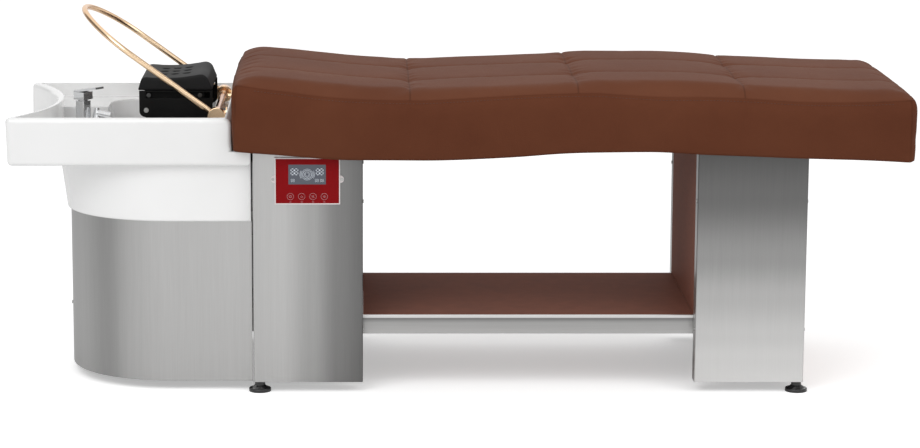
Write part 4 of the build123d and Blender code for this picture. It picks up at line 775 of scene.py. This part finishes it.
# Painted shade: the base colour is darkened to 0.7 within 3 mm of each seam and of the edge seam, where the
# leather folds in.
beside_seam = tree.nodes.new("ShaderNodeAttribute")
beside_seam.attribute_name = "seam"
painted_seam_shade = tree.nodes.new("ShaderNodeMapRange")
painted_seam_shade.inputs["From Max"].default_value = 0.003
painted_seam_shade.inputs["To Min"].default_value = 0.7
painted_seam_shade.inputs["To Max"].default_value = 1.0
wire(tree, beside_seam.outputs["Fac"], painted_seam_shade.inputs["Value"])
shade = tree.nodes.new("ShaderNodeMix")
shade.data_type = "RGBA"
shade.blend_type = "MULTIPLY"
shade.inputs["Factor"].default_value = 1.0
# Painted light: the top panel's base colour is multiplied by (1.21, 1.33, 1.42), lighter and greyer, as if
# more light fell on it from above.
top_painted_light = tree.nodes.new("ShaderNodeMix")
top_painted_light.data_type = "RGBA"
top_painted_light.blend_type = "MULTIPLY"
top_painted_light.inputs["B"].default_value = (1.21, 1.33, 1.42, 1)
on_panel = tree.nodes.new("ShaderNodeAttribute")
on_panel.attribute_name = "top_panel"
wire(tree, on_panel.outputs["Fac"], top_painted_light.inputs["Factor"])
wire(tree, hide.outputs["Color"], top_painted_light.inputs["A"])
wire(tree, top_painted_light.outputs["Result"], shade.inputs["A"])
wire(tree, painted_seam_shade.outputs[0], shade.inputs["B"])
wire(tree, shade.outputs["Result"], shader.inputs["Base Color"])
sheen = tree.nodes.new("ShaderNodeMapRange")
sheen.inputs["To Min"].default_value = 0.44
sheen.inputs["To Max"].default_value = 0.6
wire(tree, grain.outputs["Height"], sheen.inputs["Value"])
wire(tree, sheen.outputs[0], shader.inputs["Roughness"])
bump = tree.nodes.new("ShaderNodeBump")
bump.inputs["Strength"].default_value = 0.35
bump.inputs["Distance"].default_value = 0.0006
wire(tree, grain.outputs["Height"], bump.inputs["Height"])
wire(tree, bump.outputs[0], shader.inputs["Normal"])
shader.inputs["Specular IOR Level"].default_value = 0.02
shader.inputs["Sheen Weight"].default_value = 0.03
shader.inputs["Sheen Roughness"].default_value = 0.4
shader.inputs["Sheen Tint"].default_value = (1, 0.55, 0.4, 1)
pad.materials.append(leather)
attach(leather_pad, "bed")
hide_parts("mattress")

# Top stitching of the mattress: waxed brown thread, one row just under the upper seam on every side.
surface = BVHTree.FromPolygons([vertex.co for vertex in pad.vertices],
                               [tuple(face.vertices) for face in pad.polygons])
stitch_pitch, stitch_drop, thread_radius = 0.0075, 0.0055, 0.00045
long_margin, cross_margin = 0.05, 0.045
thread = bmesh.new()
spots = []
step = head_end + long_margin
while step < foot_end - long_margin:
    spots.extend(((step, -1.0, 0.0), (step, 1.0, 0.0)))
    step += stitch_pitch
step = -half_bed + cross_margin
while step < half_bed - cross_margin:
    spots.extend(((step, 0.0, -1.0), (step, 0.0, 1.0)))
    step += stitch_pitch
sixths = [math.radians(60 * side) for side in range(6)]
for place, side_y, side_x in spots:
    x = place if side_y else (head_end + foot_end) / 2 + side_x
    y = side_y if side_y else place
    z = edge_level(min(max(x, head_end), foot_end)) - stitch_drop
    hit = surface.ray_cast(Vector((x, y, z)), Vector((-side_x, -side_y, 0)))
    if hit[0] is None:
        continue
    run = Vector((1, 0, 0)) if side_y else Vector((0, 1, 0))
    out = hit[1] if hit[1].dot(Vector((side_x, side_y, 0))) > 0 else -hit[1]
    lift = out.cross(run).normalized()
    core = hit[0] + out * 0.0002
    loops = [thread.verts.new(core + run * length
                              + (out * math.cos(turn) + lift * math.sin(turn)) * thread_radius * thick)
             for length, thick in ((-0.0022, 0.3), (-0.0016, 1), (0.0016, 1), (0.0022, 0.3))
             for turn in sixths]
    for first in (0, 6, 12):
        for index in range(6):
            after = (index + 1) % 6
            thread.faces.new((loops[first + index], loops[first + after], loops[first + 6 + after],
                              loops[first + 6 + index]))
    thread.faces.new(loops[0:6])
    thread.faces.new(loops[18:24])
bmesh.ops.recalc_face_normals(thread, faces=thread.faces)
stitches = bpy.data.meshes.new("mattress_stitches")
thread.to_mesh(stitches)
thread.free()
stitch_row = bpy.data.objects.new("mattress_stitches", stitches)
bpy.context.collection.objects.link(stitch_row)
stitches.materials.append(moulded("waxed_thread", (0.075, 0.03, 0.018), 0.6, 900, 0.2))
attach(stitch_row, "bed")

# Neck rest pad: moulded black polyurethane foam with a soft skin and nine slots, on the steel carrier.
cast = node["neck_cushion"]
skin = bpy.data.meshes.new_from_object(cast)
foam = bpy.data.objects.new("neck_rest_pad", skin)
bpy.context.collection.objects.link(foam)
bpy.ops.object.select_all(action="DESELECT")
foam.select_set(True)
bpy.context.view_layer.objects.active = foam
remesh = foam.modifiers.new("even", "REMESH")
remesh.mode = "VOXEL"
remesh.voxel_size = 0.0028
bpy.ops.object.modifier_apply(modifier="even")
relax = foam.modifiers.new("soft", "SMOOTH")
relax.factor = 0.5
relax.iterations = 6
bpy.ops.object.modifier_apply(modifier="soft")
bpy.ops.object.shade_smooth()
skin = foam.data
skin.materials.clear()
foam_skin = moulded("black_foam_skin", (0.013, 0.013, 0.0135), 0.55, 500, 0.2, 0.0, 0.001)
foam_skin.node_tree.nodes["Principled BSDF"].inputs["Specular IOR Level"].default_value = 0.12
skin.materials.append(foam_skin)
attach(foam, "neck_rest")
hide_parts("neck_cushion")

# Control panel frame: thin white moulding with two ears, screwed to the front of the head pedestal.
dress(moulded("white_moulding", (0.74, 0.68, 0.68), 0.35, 300, 0.06), "panel_frame")

# Panel glass and touch keys: 3.5 mm glass painted deep red on the back, with printed rings over the
# four sensors.
red_glass = moulded("red_back_painted_glass", (0.23, 0.004, 0.006), 0.1, 60, 0.01, 0.0, 0.0004)
red_glass.node_tree.nodes["Principled BSDF"].inputs["Specular IOR Level"].default_value = 0.06
dress(red_glass, "panel_glass", "touch_keys")
print_white = moulded("key_print", (0.62, 0.42, 0.44), 0.4, 200, 0.03)
glass_y, pane_y = -0.2908, -0.2904
key_xs = [-0.3772 + 0.0254 * step for step in range(4)]
key_z = 0.452


def strip(shape, points, width, y, closed=False):
    """Flat printed line along points in the X-Z plane at depth y, 0.1 mm thick."""
    points = [Vector(point) for point in points]
    count = len(points)
    rails = []
    for index, point in enumerate(points):
        before = points[index - 1] if closed or index else point
        after = points[(index + 1) % count] if closed or index < count - 1 else point
        way = (after - before).normalized()
        side = Vector((-way.y, way.x)) * width / 2
        rails.append([shape.verts.new((place.x, depth, place.y)) for depth in (y, y - 0.0001)
                      for place in (point - side, point + side)])
    pairs = list(zip(rails, rails[1:])) + ([(rails[-1], rails[0])] if closed else [])
    for first, last in pairs:
        for a, b in ((0, 1), (1, 3), (3, 2), (2, 0)):
            shape.faces.new((first[a], first[b], last[b], last[a]))
    if not closed:
        for end in (rails[0], rails[-1]):
            shape.faces.new((end[0], end[1], end[3], end[2]))


def arc(x, z, radius, start, end, count=28):
    """Points on an arc in degrees."""
    return [(x + radius * math.cos(math.radians(start + (end - start) * step / count)),
             z + radius * math.sin(math.radians(start + (end - start) * step / count)))
            for step in range(count + (0 if abs(end - start) >= 360 else 1))]


def printed(name, shape, material):
    """Finish a printed layer as a piece of the control panel."""
    bmesh.ops.recalc_face_normals(shape, faces=shape.faces)
    layer = bpy.data.meshes.new(name)
    shape.to_mesh(layer)
    shape.free()
    piece = bpy.data.objects.new(name, layer)
    bpy.context.collection.objects.link(piece)
    layer.materials.append(material)
    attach(piece, "bed")


marks = bmesh.new()
for x in key_xs:
    strip(marks, arc(x, key_z, 0.0074, 0, 360), 0.0005, glass_y, True)
    strip(marks, ((x - 0.0022, key_z - 0.0125), (x + 0.0022, key_z - 0.0125)), 0.0008, pane_y)
power, pump_key, warm, light = key_xs
strip(marks, arc(power, key_z, 0.0028, 125, 415), 0.0006, glass_y)
strip(marks, ((power, key_z + 0.0004), (power, key_z + 0.0034)), 0.0006, glass_y)
strip(marks, ((pump_key - 0.0028, key_z - 0.001), (pump_key, key_z + 0.0026),
              (pump_key + 0.0028, key_z - 0.001), (pump_key, key_z - 0.003)), 0.0006, glass_y, True)
for shift in (-0.002, 0, 0.002):
    steam = [(warm + shift + 0.0006 * math.sin(step), key_z - 0.0028 + 0.0009 * step) for step in range(7)]
    strip(marks, steam, 0.0005, glass_y)
strip(marks, arc(light, key_z, 0.0016, 0, 360, 16), 0.0005, glass_y, True)
lamp_middle = Vector((light, key_z))
for turn in range(0, 360, 60):
    way = Vector((math.cos(math.radians(turn)), math.sin(math.radians(turn))))
    strip(marks, (lamp_middle + way * 0.0025, lamp_middle + way * 0.0036), 0.0005, glass_y)
printed("key_rings", marks, print_white)

# Display: liquid crystal panel behind the glass, blue grey, with pale segment digits and a dial printed
# on its face.
dress(moulded("lcd_glass", (0.05, 0.06, 0.085), 0.1, 50, 0.01, 0.9, 0.0003), "lcd_display")
lit, tree, shader, coords = new_material("lcd_segments")
flicker = tree.nodes.new("ShaderNodeTexNoise")
flicker.inputs["Scale"].default_value = 400
wire(tree, coords.outputs["Object"], flicker.inputs["Vector"])
level = tree.nodes.new("ShaderNodeValToRGB")
level.color_ramp.elements[0].color = (0.5, 0.55, 0.62, 1)
level.color_ramp.elements[1].color = (0.75, 0.8, 0.86, 1)
wire(tree, flicker.outputs["Fac"], level.inputs["Fac"])
wire(tree, level.outputs["Color"], shader.inputs["Base Color"])
shader.inputs["Roughness"].default_value = 0.4
digits = bmesh.new()


def eight(x, z, height):
    """Seven segment figure eight with its lower left corner at x, z."""
    width, half, bar = height / 2, height / 2, height * 0.13
    short = height * 0.05 + bar / 2
    for level in (0, half, height):
        strip(digits, ((x + short, z + level), (x + width - short, z + level)), bar, pane_y)
    for side in (0, width):
        for low in (0, half):
            strip(digits, ((x + side, z + low + short), (x + side, z + low + half - short)), bar, pane_y)


left, _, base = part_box("lcd_display")[0]
for shift in (0.006, 0.0145, 0.0625, 0.071):
    eight(left + shift, base + 0.022, 0.0135)
for shift in (0.006, 0.0105, 0.06, 0.0645, 0.0715, 0.076):
    eight(left + shift, base + 0.006, 0.006)
dial_middle = Vector((left + 0.042, base + 0.0225))
for radius, width in ((0.0125, 0.0006), (0.0098, 0.0009), (0.0066, 0.0006)):
    strip(digits, arc(*dial_middle, radius, 0, 360, 40), width, pane_y, True)
for reach in (0.0145, 0.0165):
    strip(digits, arc(*dial_middle, reach, -32, 32, 14), 0.0006, pane_y)
    strip(digits, arc(*dial_middle, reach, 148, 212, 14), 0.0006, pane_y)
for turn in range(0, 360, 30):
    way = Vector((math.cos(math.radians(turn)), math.sin(math.radians(turn))))
    strip(digits, (dial_middle + way * 0.0032, dial_middle + way * 0.0056), 0.0007, pane_y)
printed("lcd_digits", digits, lit)
